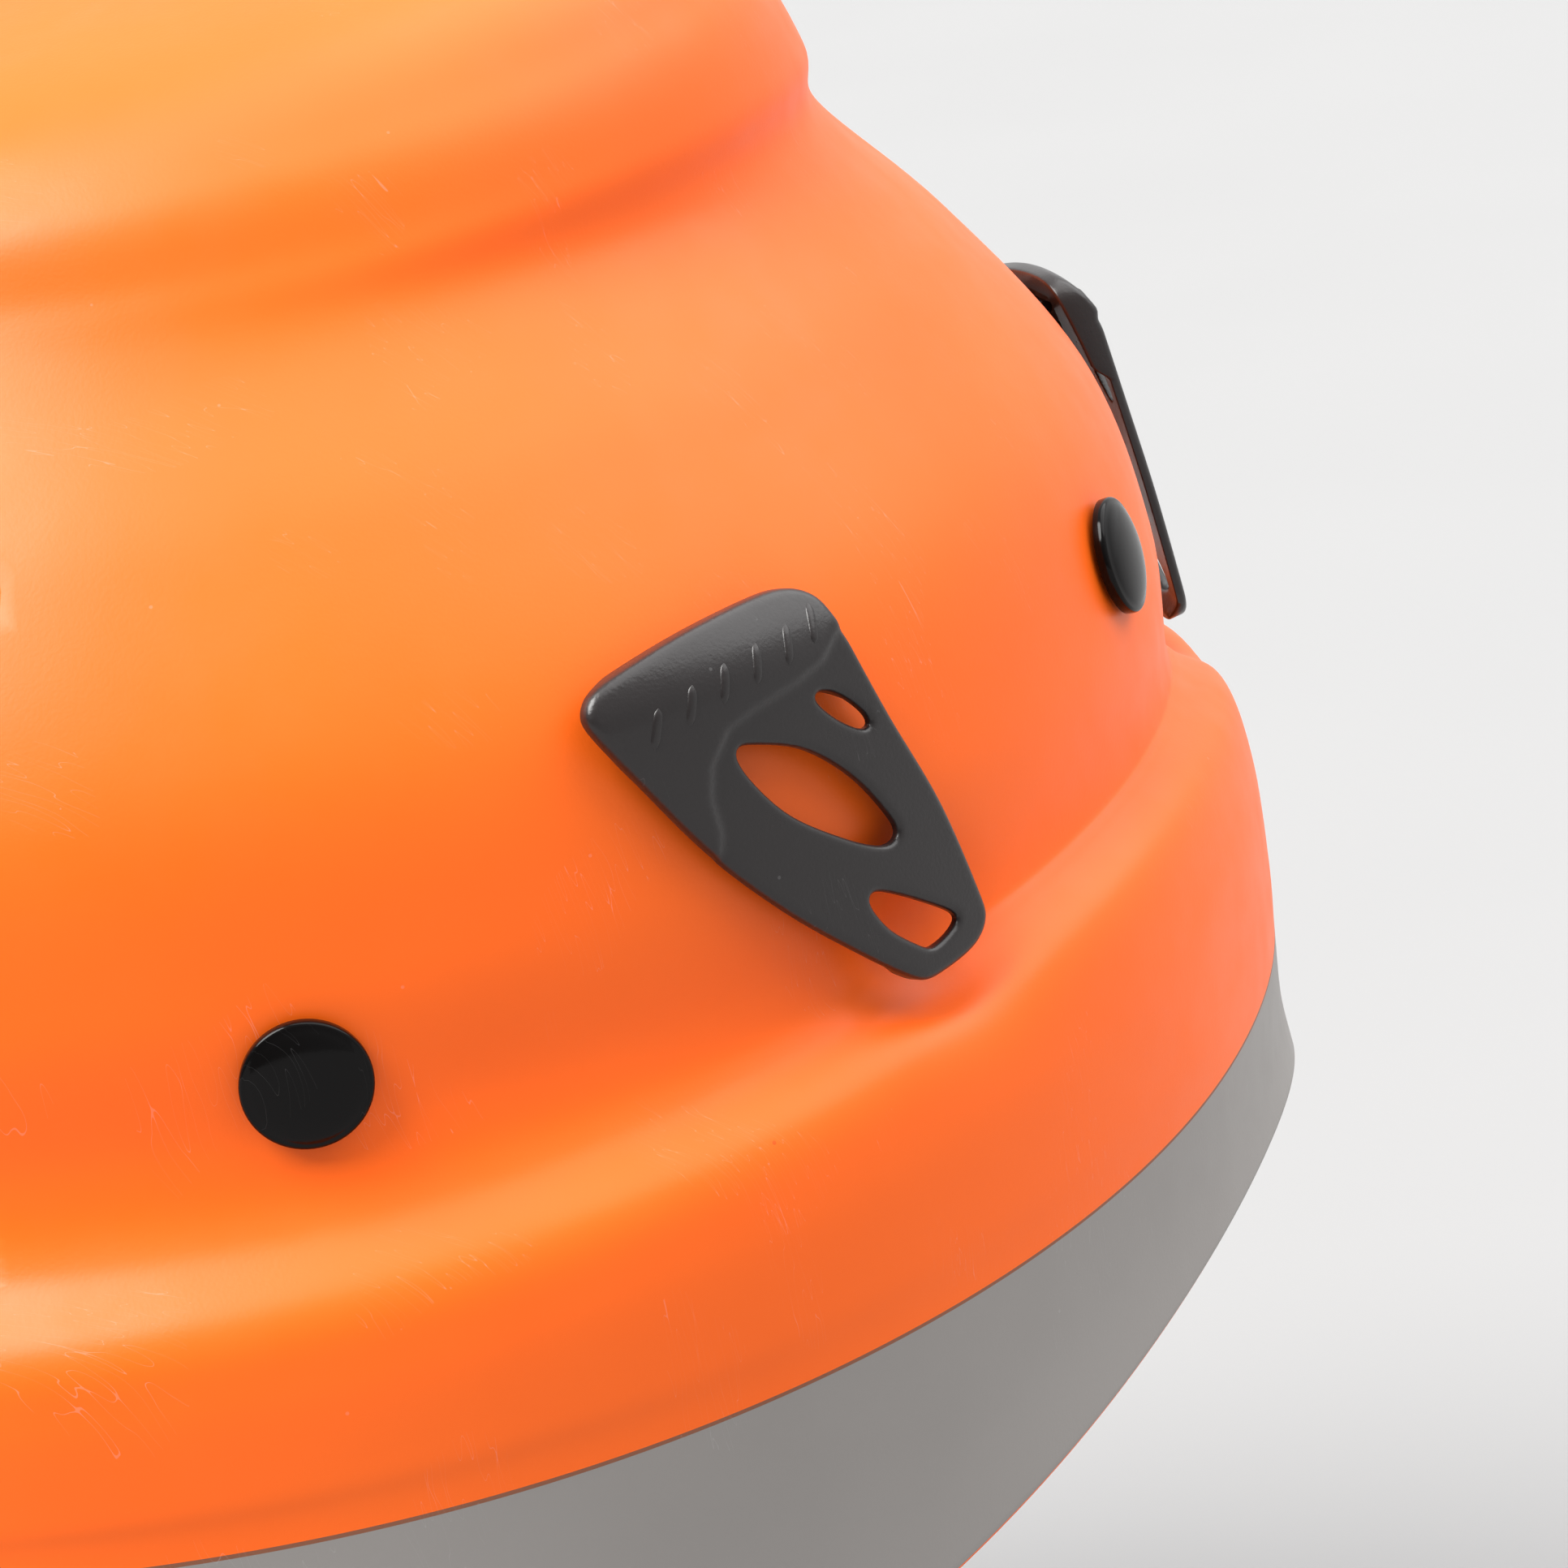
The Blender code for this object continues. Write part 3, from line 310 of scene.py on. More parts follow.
def metal_material(name, colour, roughness):
    """Brushed metal, drawn along Z."""
    shader = Shader(name)
    shader.set(Metallic=1.0)
    lines = shader.noise(1.0, 3.0, stretch=(120.0, 120.0, 4200.0))
    shader.link(shader.ramp(shader.noise(300.0), (0.3, shade(colour, 0.85)), (0.7, colour)), "Base Color")
    shader.link(shader.plus(shader.times(lines, 0.2), roughness - 0.1), "Roughness")
    shader.bump(lines, 0.00002)
    return shader.material


ORANGE = (1.0, 0.136, 0.005)
GREY = (0.262, 0.244, 0.232)
EDGE_BROWN = (0.22, 0.075, 0.035)
NYLON = (0.0125, 0.0095, 0.0095)
GLOSS = (0.0015, 0.001, 0.001)
MATERIALS = {
    "orange": moulded_plastic("shell_orange", ORANGE, 0.42, grain=0.000012, specular=0.32),
    "grey": moulded_plastic("band_coating", GREY, 0.46, grain=0.000012, dust=0.25),
    "line": moulded_plastic("coating_edge", EDGE_BROWN, 0.5, dust=0.1),
    "nylon": moulded_plastic("black_nylon", NYLON, 0.3, grain=0.000025, dust=0.2, scratch=0.15),
    "gloss": moulded_plastic("rivet_black", GLOSS, 0.13, grain=0.000004, scratch=0.1, specular=0.16),
    "band": moulded_plastic("headband_plastic", (0.045, 0.045, 0.048), 0.48, grain=0.00004, dust=0.15),
    "webbing": webbing_material("webbing_charcoal", (0.045, 0.045, 0.05)),
    "pad": knit_material("pad_knit", (0.075, 0.075, 0.082)),
    "thread": knit_material("stitch_thread", (0.30, 0.30, 0.31), 0.5),
    "steel": metal_material("screw_steel", (0.62, 0.61, 0.6), 0.32),
}


# ---- mesh helpers ------------------------------------------------------------------------------------
def unit(v):
    v = np.asarray(v, float)
    return v / np.linalg.norm(v)


class Frame:
    """A local frame: h and v lie in a face, and w points out of it."""

    def __init__(self, origin, h, v, w):
        self.origin = np.asarray(origin, float)
        self.h, self.v, self.w = (np.asarray(axis, float) for axis in (h, v, w))

    def at(self, h, v, w=0.0):
        return self.origin + h * self.h + v * self.v + w * self.w

    def many(self, h, v, w):
        return (self.origin + np.outer(h, self.h) + np.outer(v, self.v) + np.outer(w, self.w))


def add_object(name, data):
    obj = bpy.data.objects.new(name, data)
    bpy.context.scene.collection.objects.link(obj)
    return obj


def build(name, verts, faces, material, sharp=35.0, uv=None, face_materials=None):
    """An object from world millimetres. material is a key or a tuple of keys."""
    mesh = bpy.data.meshes.new(name)
    mesh.from_pydata([tuple(v) for v in np.asarray(verts, float) * MM], [], [tuple(f) for f in faces])
    if uv is not None:
        layer = mesh.uv_layers.new(name="UVMap")
        loops = np.empty(len(mesh.loops), dtype=int)
        mesh.loops.foreach_get("vertex_index", loops)
        layer.data.foreach_set("uv", np.asarray(uv, float)[loops].ravel())
    if face_materials is not None:
        mesh.polygons.foreach_set("material_index", np.asarray(face_materials, dtype=np.int32))
    bm = bmesh.new()
    bm.from_mesh(mesh)
    bmesh.ops.recalc_face_normals(bm, faces=bm.faces)
    bm.to_mesh(mesh)
    bm.free()
    for key in (material if isinstance(material, tuple) else (material,)):
        mesh.materials.append(MATERIALS[key])
    mesh.shade_smooth()
    mesh.set_sharp_from_angle(angle=radians(sharp))
    return add_object(name, mesh)


def place(obj, body, slot, *nodes):
    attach(obj, body)
    if nodes:
        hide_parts(*nodes)
    return obj


def grid_faces(rows, columns, closed=True):
    """Quads between rows of points. A closed row's last point meets its first."""
    faces = []
    for r in range(rows - 1):
        for c in range(columns if closed else columns - 1):
            a, b, d = r * columns, (r + 1) * columns, (c + 1) % columns
            faces.append((a + c, a + d, b + d, b + c))
    return faces


def tube_faces(rows, ring, start=0):
    """The faces of a tube of rings with both ends capped, for points that begin at start."""
    faces = grid_faces(rows, ring) + [tuple(range(ring)), tuple(range((rows - 1) * ring, rows * ring))]
    return [tuple(start + i for i in f) for f in faces]


def spline(a, b, c, d, t):
    """The point at t between b and c on the Catmull-Rom curve through all four."""
    return 0.5 * (2 * b + (c - a) * t + (2 * a - 5 * b + 4 * c - d) * t**2 + (3 * b - a - 3 * c + d) * t**3)


def smooth_path(points, steps):
    """Points on a Catmull-Rom curve through the ones given."""
    p = np.asarray(points, float)
    p = np.vstack([2 * p[0] - p[1], p, 2 * p[-1] - p[-2]])
    out = []
    for i in range(1, len(p) - 2):
        out += [spline(*p[i - 1 : i + 3], t) for t in np.linspace(0, 1, steps, endpoint=False)]
    out.append(p[-2])
    return np.array(out)


def smooth_loop(points, step):
    """A closed smooth curve through the points, resampled at about the step given."""
    p = np.asarray(points, float)
    out = []
    for i in range(len(p)):
        near = [p[(i + k) % len(p)] for k in (-1, 0, 1, 2)]
        out += [spline(*near, t) for t in np.linspace(0, 1, 12, endpoint=False)]
    closed = np.array(out + out[:1])
    s = np.concatenate([[0], np.cumsum(np.linalg.norm(np.diff(closed, axis=0), axis=1))])
    where = np.linspace(0, s[-1], max(8, int(s[-1] / step)), endpoint=False)
    return np.column_stack([np.interp(where, s, closed[:, k]) for k in range(2)])


# ---- shell -------------------------------------------------------------------------------------------
def shell_row(u):
    i = int(min(max(np.floor(u), 0), APEX - 1))
    return spline(*(SHELL_ROWS[min(max(j, 0), APEX)] for j in (i - 1, i, i + 1, i + 2)), u - i)


def plain_ring(u, phi):
    """The shell's outer surface at u for an array of angles."""
    front, side, rear, z_front, z_side, z_rear = shell_row(u)
    ahead = np.cos(phi) > 0
    reach = np.maximum(np.where(ahead, front, rear), 1e-4)
    power = np.where(ahead, 2.06, 2.3)
    side = max(side, 1e-4)
    radius = ((np.abs(np.sin(phi)) / side) ** power + (np.abs(np.cos(phi)) / reach) ** power) ** (-1 / power)
    z = z_side + (np.where(ahead, z_front, z_rear) - z_side) * np.abs(np.cos(phi)) ** ARCH_POWER
    return np.column_stack([-radius * np.sin(phi), SHELL_SHIFT_Y - radius * np.cos(phi), z])


def ring_normals(u, phi):
    step = 1e-3
    along = plain_ring(u + step, phi) - plain_ring(u - step, phi)
    around = plain_ring(u, phi + step) - plain_ring(u, phi - step)
    normal = np.cross(along, around)
    return normal / np.linalg.norm(normal, axis=1)[:, None]


def shell_frame(u, degrees):
    phi = np.array([radians(degrees)])
    w = ring_normals(u, phi)[0]
    level = unit(np.cross((0, 0, 1), w))
    h = level if level[1] < 0 or (abs(level[1]) < 1e-9 and level[0] > 0) else -level
    v = np.cross(w, h)
    v = v if v[2] > 0 else -v
    return Frame(plain_ring(u, phi)[0], h, v, w)


def clip_frame(u, degrees, side, sense):
    base = shell_frame(u, degrees)
    h = base.h * sense
    flip = np.array((1 if side > 0 else -1, 1, 1))
    return Frame(base.origin * flip, h * flip, base.v * flip, base.w * flip)


DENTS = [clip_frame(u, degrees, side, sense).at(*CLIP_DENT_AT, -2.0)
         for _, u, degrees, sense in CLIPS for side in (1, -1)]


def shell_ring(u, phi, depth):
    """The shell's surface with its pockets, at a depth under the outer face."""
    points = plain_ring(u, phi)
    normals = ring_normals(min(max(u, 0.02), APEX - 0.02), phi)
    sink = np.full(len(phi), depth)
    if 3.0 < u < 10.5:
        for middle in DENTS:
            far = np.linalg.norm(points - middle, axis=1) / CLIP_DENT_R
            sink += CLIP_DENT * np.exp(-3 * far**2)
    return points - sink[:, None] * normals


def vent_outline(length, height, lean, count=14):
    reach, radius = (length - height) / 2, height / 2
    along = np.array((cos(radians(lean)), sin(radians(lean))))
    across = np.array((-along[1], along[0]))
    points, outward = [], []
    for centre, sign in ((along * reach, 1), (-along * reach, -1)):
        for i in range(count):
            a = -pi / 2 + pi * i / (count - 1)
            way = sign * (cos(a) * along + sin(a) * across)
            points.append(centre + radius * way)
            outward.append(way)
    return np.array(points), np.array(outward)


def make_shell():
    around = 300
    phi = np.linspace(0, tau, around, endpoint=False)
    outer_rows = [*np.arange(0.06, BAND_EDGE, 0.1), BAND_EDGE, BAND_EDGE + EDGE_LINE]
    outer_rows += [*np.arange(2.1, 15.0, 0.1), *np.linspace(15.0, 15.96, 8)]
    profile = [(u, 0.0) for u in reversed(outer_rows)]
    profile += [(0.02, 0.12), (0.0, 0.4), (0.0, 1.3), (0.0, 2.2), (0.02, 2.48)]
    profile += [(u, SHELL_T) for u in (0.08, *np.arange(0.25, 15.0, 0.25), *np.linspace(15.0, 15.96, 5))]
    rings = [shell_ring(u, phi, d) for u, d in profile]
    verts = np.vstack(rings + [[(0, SHELL_SHIFT_Y, 127.5), (0, SHELL_SHIFT_Y, 127.5 - SHELL_T)]])
    faces = grid_faces(len(rings), around)
    kinds = []
    for (u_a, d_a), (u_b, d_b) in zip(profile, profile[1:]):
        row = (u_a + u_b) / 2
        outer = d_a == d_b == 0.0
        kind = 1 if outer and row < BAND_EDGE else 2 if outer and row < BAND_EDGE + EDGE_LINE else 0
        kinds += [kind] * around
    last = (len(rings) - 1) * around
    for i in range(around):
        j = (i + 1) % around
        faces.append((i, j, len(verts) - 2))
        faces.append((last + j, last + i, len(verts) - 1))
    kinds += [0] * (2 * around)
    shell = build("helmet_shell", verts, faces, ("orange", "grey", "line"), sharp=50, face_materials=kinds)
    cutter = make_vent_cutter(BVHTree.FromPolygons([Vector(v) for v in verts], faces))
    modifier = shell.modifiers.new("vents", "BOOLEAN")
    modifier.operation, modifier.solver, modifier.object = "DIFFERENCE", "EXACT", cutter
    bpy.context.view_layer.update()
    cut = bpy.data.meshes.new_from_object(shell.evaluated_get(bpy.context.evaluated_depsgraph_get()))
    shell.modifiers.clear()
    shell.data = cut
    cut.shade_smooth()
    cut.set_sharp_from_angle(angle=radians(50))
    bpy.data.objects.remove(cutter)
    place(shell, "shell", "shell", "shell")


def make_vent_cutter(tree):
    """Plugs for the vents, flared where they meet the shell so that the holes' edges come out rounded."""
    verts, faces = [], []
    flare = ((0.0, -1.0), (0.0, -0.5), (0.10, -0.22), (0.30, -0.05), (0.75, 0.10), (1.4, 0.6), (1.6, 6.0))
    rings = [(offset, -rise, SHELL_T) for offset, rise in reversed(flare)]
    rings += [(offset, rise, 0.0) for offset, rise in flare]
    for u, degrees, length, height, lean in VENTS:
        for side in (1, -1):
            at = shell_frame(u, side * degrees)
            points, outward = vent_outline(length, height, lean)
            start = len(verts)
            for offset, rise, wall in rings:
                for p, way in zip(points, outward):
                    h, v = p + way * offset
                    top = at.at(h, v, 14.0)
                    hit, _, _, far = tree.ray_cast(Vector(top), Vector(-at.w))
                    w = 14.0 - far if hit else 0.0
                    verts.append(at.at(h, v, w - wall + rise))
            faces += tube_faces(len(rings), len(points), start)
    return build("vent_plugs", verts, faces, "orange")


# ---- rivets ------------------------------------------------------------------------------------------
def lathe(name, at, profile, material, count=72, sharp=35.0):
    """Turned about the frame's w axis. The profile is (radius, height), closed at the axis or a ring."""
    verts, rings = [], []
    for radius, height in profile:
        if radius < 1e-6:
            rings.append([len(verts)])
            verts.append(at.at(0, 0, height))
            continue
        rings.append(list(range(len(verts), len(verts) + count)))
        turns = [tau * i / count for i in range(count)]
        verts += [at.at(radius * cos(a), radius * sin(a), height) for a in turns]
    pairs = list(zip(rings, rings[1:]))
    if profile[0][0] > 1e-6:
        pairs.append((rings[-1], rings[0]))
    faces = []
    for low, high in pairs:
        for i in range(count):
            j = (i + 1) % count
            if len(low) == 1:
                faces.append((low[0], high[i], high[j]))
            elif len(high) == 1:
                faces.append((low[i], high[0], low[j]))
            else:
                faces.append((low[i], high[i], high[j], low[j]))
    return build(name, verts, faces, material, sharp)


def make_rivet(name, u, degrees):
    """A pillow-shaped cap on a shank, and the washer behind the webbing."""
    at = shell_frame(u, degrees)
    turn = 1.2
    profile = [(CAP_R * 0.93 * sin(a) / sin(turn), 1.75 + 0.95 * (cos(a) - cos(turn)) / (1 - cos(turn)))
               for a in np.linspace(0, turn, 9)]
    profile += [(CAP_R * 0.93 + 0.43 * sin(a), 1.3 + 0.45 * cos(a)) for a in np.linspace(0.25, pi / 2, 5)]
    profile += [(CAP_R, 1.0), (CAP_R - 0.05, 0.5), (CAP_R - 0.25, 0.35), (SHANK_R, 0.35),
                (SHANK_R, SHANK_END + 0.3), (SHANK_R - 0.3, SHANK_END), (0.0, SHANK_END)]
    place(lathe(f"rivet_head_{name}", at, profile, "gloss"), "shell", "rivet", f"rivet_{name}")
    high, low = WASHER
    bore, rim = SHANK_R + 0.25, CAP_R - 0.2
    ring = [(bore, high), (rim - 0.15, high), (rim, high - 0.15), (rim, high - 0.8), (rim - 0.25, high - 1.3),
            (rim - 0.7, low), (bore + 0.3, low), (bore, low + 0.25)]
    place(lathe(f"rivet_washer_{name}", at, ring, "nylon", 48), "shell", "black_plastic", f"washer_{name}")


# ---- headlamp clips ----------------------------------------------------------------------------------
def segment_distance(points, line, closed=True):
    """Distance from each 2-D point to a polyline, and the signed side of its nearest stretch."""
    a = np.asarray(line, float)
    b = np.roll(a, -1, axis=0) if closed else a[1:]
    a = a if closed else a[:-1]
    d = b - a
    rel = points[:, None, :] - a[None]
    t = np.clip((rel * d).sum(-1) / (d * d).sum(-1), 0, 1)
    away = rel - t[..., None] * d
    far = np.linalg.norm(away, axis=-1)
    best = far.argmin(1)
    pick = np.arange(len(points))
    side = np.sign(d[best, 0] * rel[pick, best, 1] - d[best, 1] * rel[pick, best, 0])
    return far.min(1), side


def inside(points, loop):
    """Whether each 2-D point is in the closed loop."""
    x, y = points[:, 0][:, None], points[:, 1][:, None]
    a, b = np.asarray(loop), np.roll(loop, -1, axis=0)
    crosses = (a[:, 1] > y) != (b[:, 1] > y)
    rise = np.where(np.abs(b[:, 1] - a[:, 1]) < 1e-12, 1e-12, b[:, 1] - a[:, 1])
    return (crosses & (x < (b[:, 0] - a[:, 0]) * (y - a[:, 1]) / rise + a[:, 0])).sum(1) % 2 == 1


def offset_loop(loop, distance):
    """The loop moved to its left by the distance."""
    ahead, behind = np.roll(loop, -1, axis=0), np.roll(loop, 1, axis=0)
    way = ahead - behind
    way /= np.linalg.norm(way, axis=1)[:, None]
    return loop + distance * np.column_stack([-way[:, 1], way[:, 0]])


def anticlockwise(loop):
    area = np.sum(loop[:, 0] * np.roll(loop[:, 1], -1) - loop[:, 1] * np.roll(loop[:, 0], -1))
    return loop if area > 0 else loop[::-1]


def sag(h, v):
    """How far the shell falls away under the clip's plan."""
    return h * h / (2 * 92.0) + v * v / (2 * 105.0)


def clip_top(h, v):
    """Height of the clip's top over the shell: a domed head, and an arm that slopes down to the tip."""
    bow = np.where(h < 0, h * h / 120, h * h / 190)
    head = CLIP_HEAD_W - 0.055 * (v - CLIP_CREST) ** 2 - bow
    arm = CLIP_HEAD_W - CLIP_SLOPE * (CLIP_CREST - v) - bow
    return np.where(v > CLIP_CREST, head, arm)


def clip_bottom(h, v):
    """Height of the underside: the head's foot with its hollow, the thin arm, and the hook at the tip."""
    left, right, low, high = CLIP_HOLLOW
    top = clip_top(h, v)
    lip, lip_depth = CLIP_LIP
    hook = np.clip((lip + 2.2 - v) / 2.2, 0, 1)
    arm = top - CLIP_T - (lip_depth - CLIP_T) * hook * hook
    foot = np.clip((v - CLIP_HEAD_FOOT) / 2.4 + 1, 0, 1) * np.clip((h + 16.4) / 3.0, 0, 1)
    foot = foot * foot * (3 - 2 * foot)
    head = arm * (1 - foot) + (1.4 - sag(h, v)) * foot
    hollow = (left < h) & (h < right) & (low < v) & (v < high)
    return np.where(hollow, top - 1.1, head)


def clip_relief(points):
    """Height over the plain top: a raised pad with a soft edge."""
    far, side = segment_distance(points, CLIP_PAD_EDGE, closed=False)
    t = np.clip(far * np.where(side < 0, 1, -1) / 0.7 * 0.5 + 0.5, 0, 1)
    return 0.6 * t * t * (3 - 2 * t) - 0.4


def softened(loop, rounds):
    """The loop with its corners rounded by averaging each point with its neighbours."""
    for _ in range(rounds):
        loop = 0.5 * loop + 0.25 * (np.roll(loop, 1, axis=0) + np.roll(loop, -1, axis=0))
    return loop


def clip_mesh():
    """The clip's plan as triangles: boundary loops, loops just inside them, and a grid between."""
    outline = anticlockwise(softened(smooth_loop(CLIP_OUTLINE, 0.45), 6))
    holes = [anticlockwise(softened(smooth_loop(h, 0.4), 5)) for h in (CLIP_EYE, CLIP_DROP, CLIP_TIP_HOLE)]
    loops = []
    for base, sense in [(outline, 1)] + [(hole, -1) for hole in holes]:
        for inset in (0.0, 0.06, 0.2, 0.42, 0.72):
            loops.append(offset_loop(base, sense * inset))
    step = 0.42
    h, v = np.meshgrid(np.arange(-18.5, 22, step), np.arange(-25, 17.5, step))
    grid = np.column_stack([h.ravel() + np.tile([0, step / 2], h.size)[: h.size], v.ravel()])
    keep = inside(grid, outline)
    for hole in holes:
        keep &= ~inside(grid, hole)
    for base in [outline, *holes]:
        keep &= segment_distance(grid, base)[0] > 0.95
    grid = grid[keep]
    points, edges = [], []
    for loop in loops:
        start = len(points)
        points += list(loop)
        edges += [(start + i, start + (i + 1) % len(loop)) for i in range(len(loop))]
    points += list(grid)
    verts, _, faces, _, _, _ = delaunay_2d_cdt([Vector(p) for p in points], edges, [], 0, 1e-4)
    verts = np.array(verts)
    faces = np.array(list(faces))
    middles = verts[faces].mean(1)
    keep = inside(middles, outline)
    for hole in holes:
        keep &= ~inside(middles, hole)
    faces = faces[keep]
    used = np.unique(faces)
    index = -np.ones(len(verts), int)
    index[used] = np.arange(len(used))
    verts, faces = verts[used], index[faces]
    far = np.min([segment_distance(verts, base)[0] for base in [outline, *holes]], axis=0)
    return verts, faces, far


def make_clip_ribs(label, at):
    """Low rounded grip ribs that stand on the pad."""
    verts, faces = [], []
    lean, wide = unit((0.36, 0.93)), unit((0.93, -0.36))
    for middle in CLIP_RIBS:
        start = len(verts)
        for f in np.linspace(-1, 1, 11):
            size = np.sqrt(max(0.02, 1 - abs(f) ** 4))
            for k in range(12):
                a = tau * k / 12
                plan = np.asarray(middle) + lean * 1.9 * f + wide * 0.46 * size * cos(a)
                rise = clip_top(plan[0], plan[1]) + 0.2 + 0.2 * size * sin(a)
                verts.append(at.at(plan[0], plan[1], float(rise)))
        faces += tube_faces(11, 12, start)
    place(build(f"clip_ribs_{label}", verts, faces, "nylon"), f"clip_{label}", "black_plastic")


def make_clips():
    plan, faces, far = clip_mesh()
    h, v = plan[:, 0], plan[:, 1]
    near = np.clip(CLIP_EDGE_R - far, 0, CLIP_EDGE_R)
    drop = CLIP_EDGE_R - np.sqrt(np.maximum(CLIP_EDGE_R**2 - near**2, 0))
    top = clip_top(h, v) + clip_relief(plan) - drop * 0.9
    under_near = np.clip(0.35 - far, 0, 0.35)
    under = clip_bottom(h, v) + 0.35 - np.sqrt(np.maximum(0.35**2 - under_near**2, 0))
    under = np.minimum(under, top - 0.45)
    n = len(plan)
    seen = dict.fromkeys((f[i - 1], f[i]) for f in faces for i in (1, 2, 0))
    sides = [(a, a + n, b + n, b) for a, b in seen if (b, a) not in seen]
    all_faces = [tuple(f) for f in faces] + [tuple(n + i for i in reversed(f)) for f in faces] + sides
    for name, u, degrees, sense in CLIPS:
        for side in (1, -1):
            at = clip_frame(u, degrees, side, sense)
            label = f"{name}_{'right' if side > 0 else 'left'}"
            verts = np.vstack([at.many(h, v, top), at.many(h, v, under)])
            lever = build(f"headlamp_clip_{label}", verts, all_faces, "nylon", sharp=60)
            place(lever, f"clip_{label}", "black_plastic", f"clip_lever_{label}")
            make_clip_ribs(label, at)


# ---- ribbons of webbing ------------------------------------------------------------------------------
class Ribbon:
    """A flat strip along a path, with its width direction given at each path point."""

    def __init__(self, path, across, steps=5):
        self.path = smooth_path(path, steps)
        self.across = np.array([unit(a) for a in smooth_path([unit(a) for a in across], steps)])
        lengths = np.linalg.norm(np.diff(self.path, axis=0), axis=1)
        self.s = np.concatenate([[0.0], np.cumsum(lengths)])
        tangents = np.gradient(self.path, self.s, axis=0)
        self.normal = np.array([unit(np.cross(t, a)) for t, a in zip(tangents, self.across)])
        self.length = self.s[-1]

    def read(self, s):
        def table(values):
            return np.column_stack([np.interp(s, self.s, values[:, k]) for k in range(3)])

        return table(self.path), table(self.across), table(self.normal)

    def solid(self, name, width, thick, material, step=1.0, end_round=0.0, width_at=None):
        """A closed strip. width_at gives the share of the width at s."""
        s = np.linspace(0, self.length, max(4, int(self.length / step)))
        middle, across, normal = self.read(s)
        half, t = width / 2, thick / 2
        flat = np.linspace(-1, 1, 15) * (half - t * 0.7)
        edge = [(half - t * 0.15, t * 0.75), (half, 0.0), (half - t * 0.15, -t * 0.75)]
        section = [(q, t) for q in flat] + edge + [(q, -t) for q in flat[::-1]]
        section += [(-q, w) for q, w in reversed(edge)]
        q, w = np.array(section).T
        n = len(section)
        share = np.ones(len(s)) if width_at is None else np.array([width_at(x) for x in s])
        if end_round:
            near = np.minimum(s, self.length - s)
            inset = np.clip(end_round - near, 0, end_round)
            share *= 1 - (end_round - np.sqrt(np.maximum(end_round**2 - inset**2, 0))) / half
        aside = q[None] * share[:, None]
        verts = (middle[:, None] + aside[..., None] * across[:, None]
                 + w[None, :, None] * normal[:, None]).reshape(-1, 3)
        # The back's weave is shifted by 40 mm, so that it isn't the front's.
        uv = np.column_stack([np.repeat(s, n), aside.ravel() + np.tile(np.where(w < 0, 40, 0), len(s))])
        return build(name, verts, tube_faces(len(s), n), material, sharp=50, uv=uv)


def make_tacks(name, ribbon, starts, width, thick, rows, low_side=False):
    """Bar tacks: short thread stitches across the ribbon in rows, standing on its face."""
    verts, faces = [], []
    radius, pitch, row_gap = 0.28, 2.2, 1.6
    count = int(width / pitch)
    for start in starts:
        for row in range(rows):
            middle, across, normal = (a[0] for a in ribbon.read(np.array([start + row * row_gap])))
            along = unit(np.cross(across, normal))
            for sign in ((1, -1) if low_side else (1,)):
                for i in range(count):
                    base = middle + (i - (count - 1) / 2) * pitch * across + sign * normal * thick
                    tip_way = across * pitch * 0.36 + along * (0.35 if i % 2 else -0.35)
                    faces += tube_faces(5, 6, len(verts))
                    for f in np.linspace(-1, 1, 5):
                        lift = radius * 0.9 * np.sqrt(max(0.0, 1 - f * f * 0.96))
                        centre = base + tip_way * f + sign * normal * (lift - 0.1)
                        size = radius * (0.45 + 0.55 * np.sqrt(max(0.0, 1 - f * f)))
                        for k in range(6):
                            a = tau * k / 6
                            verts.append(centre + size * (cos(a) * along + sin(a) * normal))
    place(build(name, verts, faces, "thread"), "shell", "webbing")


# ---- headband, cradle and pads -----------------------------------------------------------------------
def band_ribbon():
    right = smooth_path(BAND_PATH, 3) * (-1, 1, 1)
    left = smooth_path(BAND_PATH, 3)[1:]
    path = np.vstack([right[::-1], left])
    return Ribbon(path, [(0, 0, 1)] * len(path), steps=3)


def band_share(length):
    def share(s):
        t = min(max(min(s, length - s) / 60, 0.0), 1.0)
        return (BAND_END_H + (BAND_H - BAND_END_H) * t * t * (3 - 2 * t)) / BAND_H

    return share


def make_headband(ribbon):
    band = ribbon.solid("headband_ring", BAND_H, BAND_T, "band", step=1.2, width_at=band_share(ribbon.length))
    place(band, "shell", "band", "headband")
    rail = BAND_H / 2 - 2.2
    middle = ribbon.length / 2
    s = np.linspace(middle - 150, middle + 150, 200)
    sign = outward_sign(ribbon)
    for label, q in (("upper", rail), ("lower", -rail)):
        verts = []
        for c, a, n in zip(*ribbon.read(s)):
            for k in range(8):
                turn = tau * k / 8
                out = BAND_T / 2 + 0.1 + 0.45 * sin(turn)
                verts.append(c + a * (q + 0.55 * cos(turn)) + n * sign * out)
        rib = build(f"headband_rib_{label}", verts, tube_faces(len(s), 8), "band")
        place(rib, "shell", "band")


def outward_sign(ribbon):
    """1 where the band's normal points away from the head, or else -1."""
    middle, _, normal = ribbon.read(np.array([ribbon.length / 2]))
    return -1 if normal[0][1] > 0 else 1


def band_point(ribbon, x_sign, y_target):
    """A place just outside the band on one side, 4 mm above its middle, and the band's way there."""
    half = ribbon.length / 2
    side = np.array([s for s in np.linspace(0, ribbon.length, 400) if (s > half) == (x_sign > 0)])
    middle, across, normal = ribbon.read(side)
    best = np.abs(middle[:, 1] - y_target).argmin()
    ahead, _, _ = ribbon.read(side[best] + np.array([-2.0, 2.0]))
    out = outward_sign(ribbon) * CRADLE_OFF * normal[best]
    return middle[best] + across[best] * 4 + out, unit(ahead[1] - ahead[0])


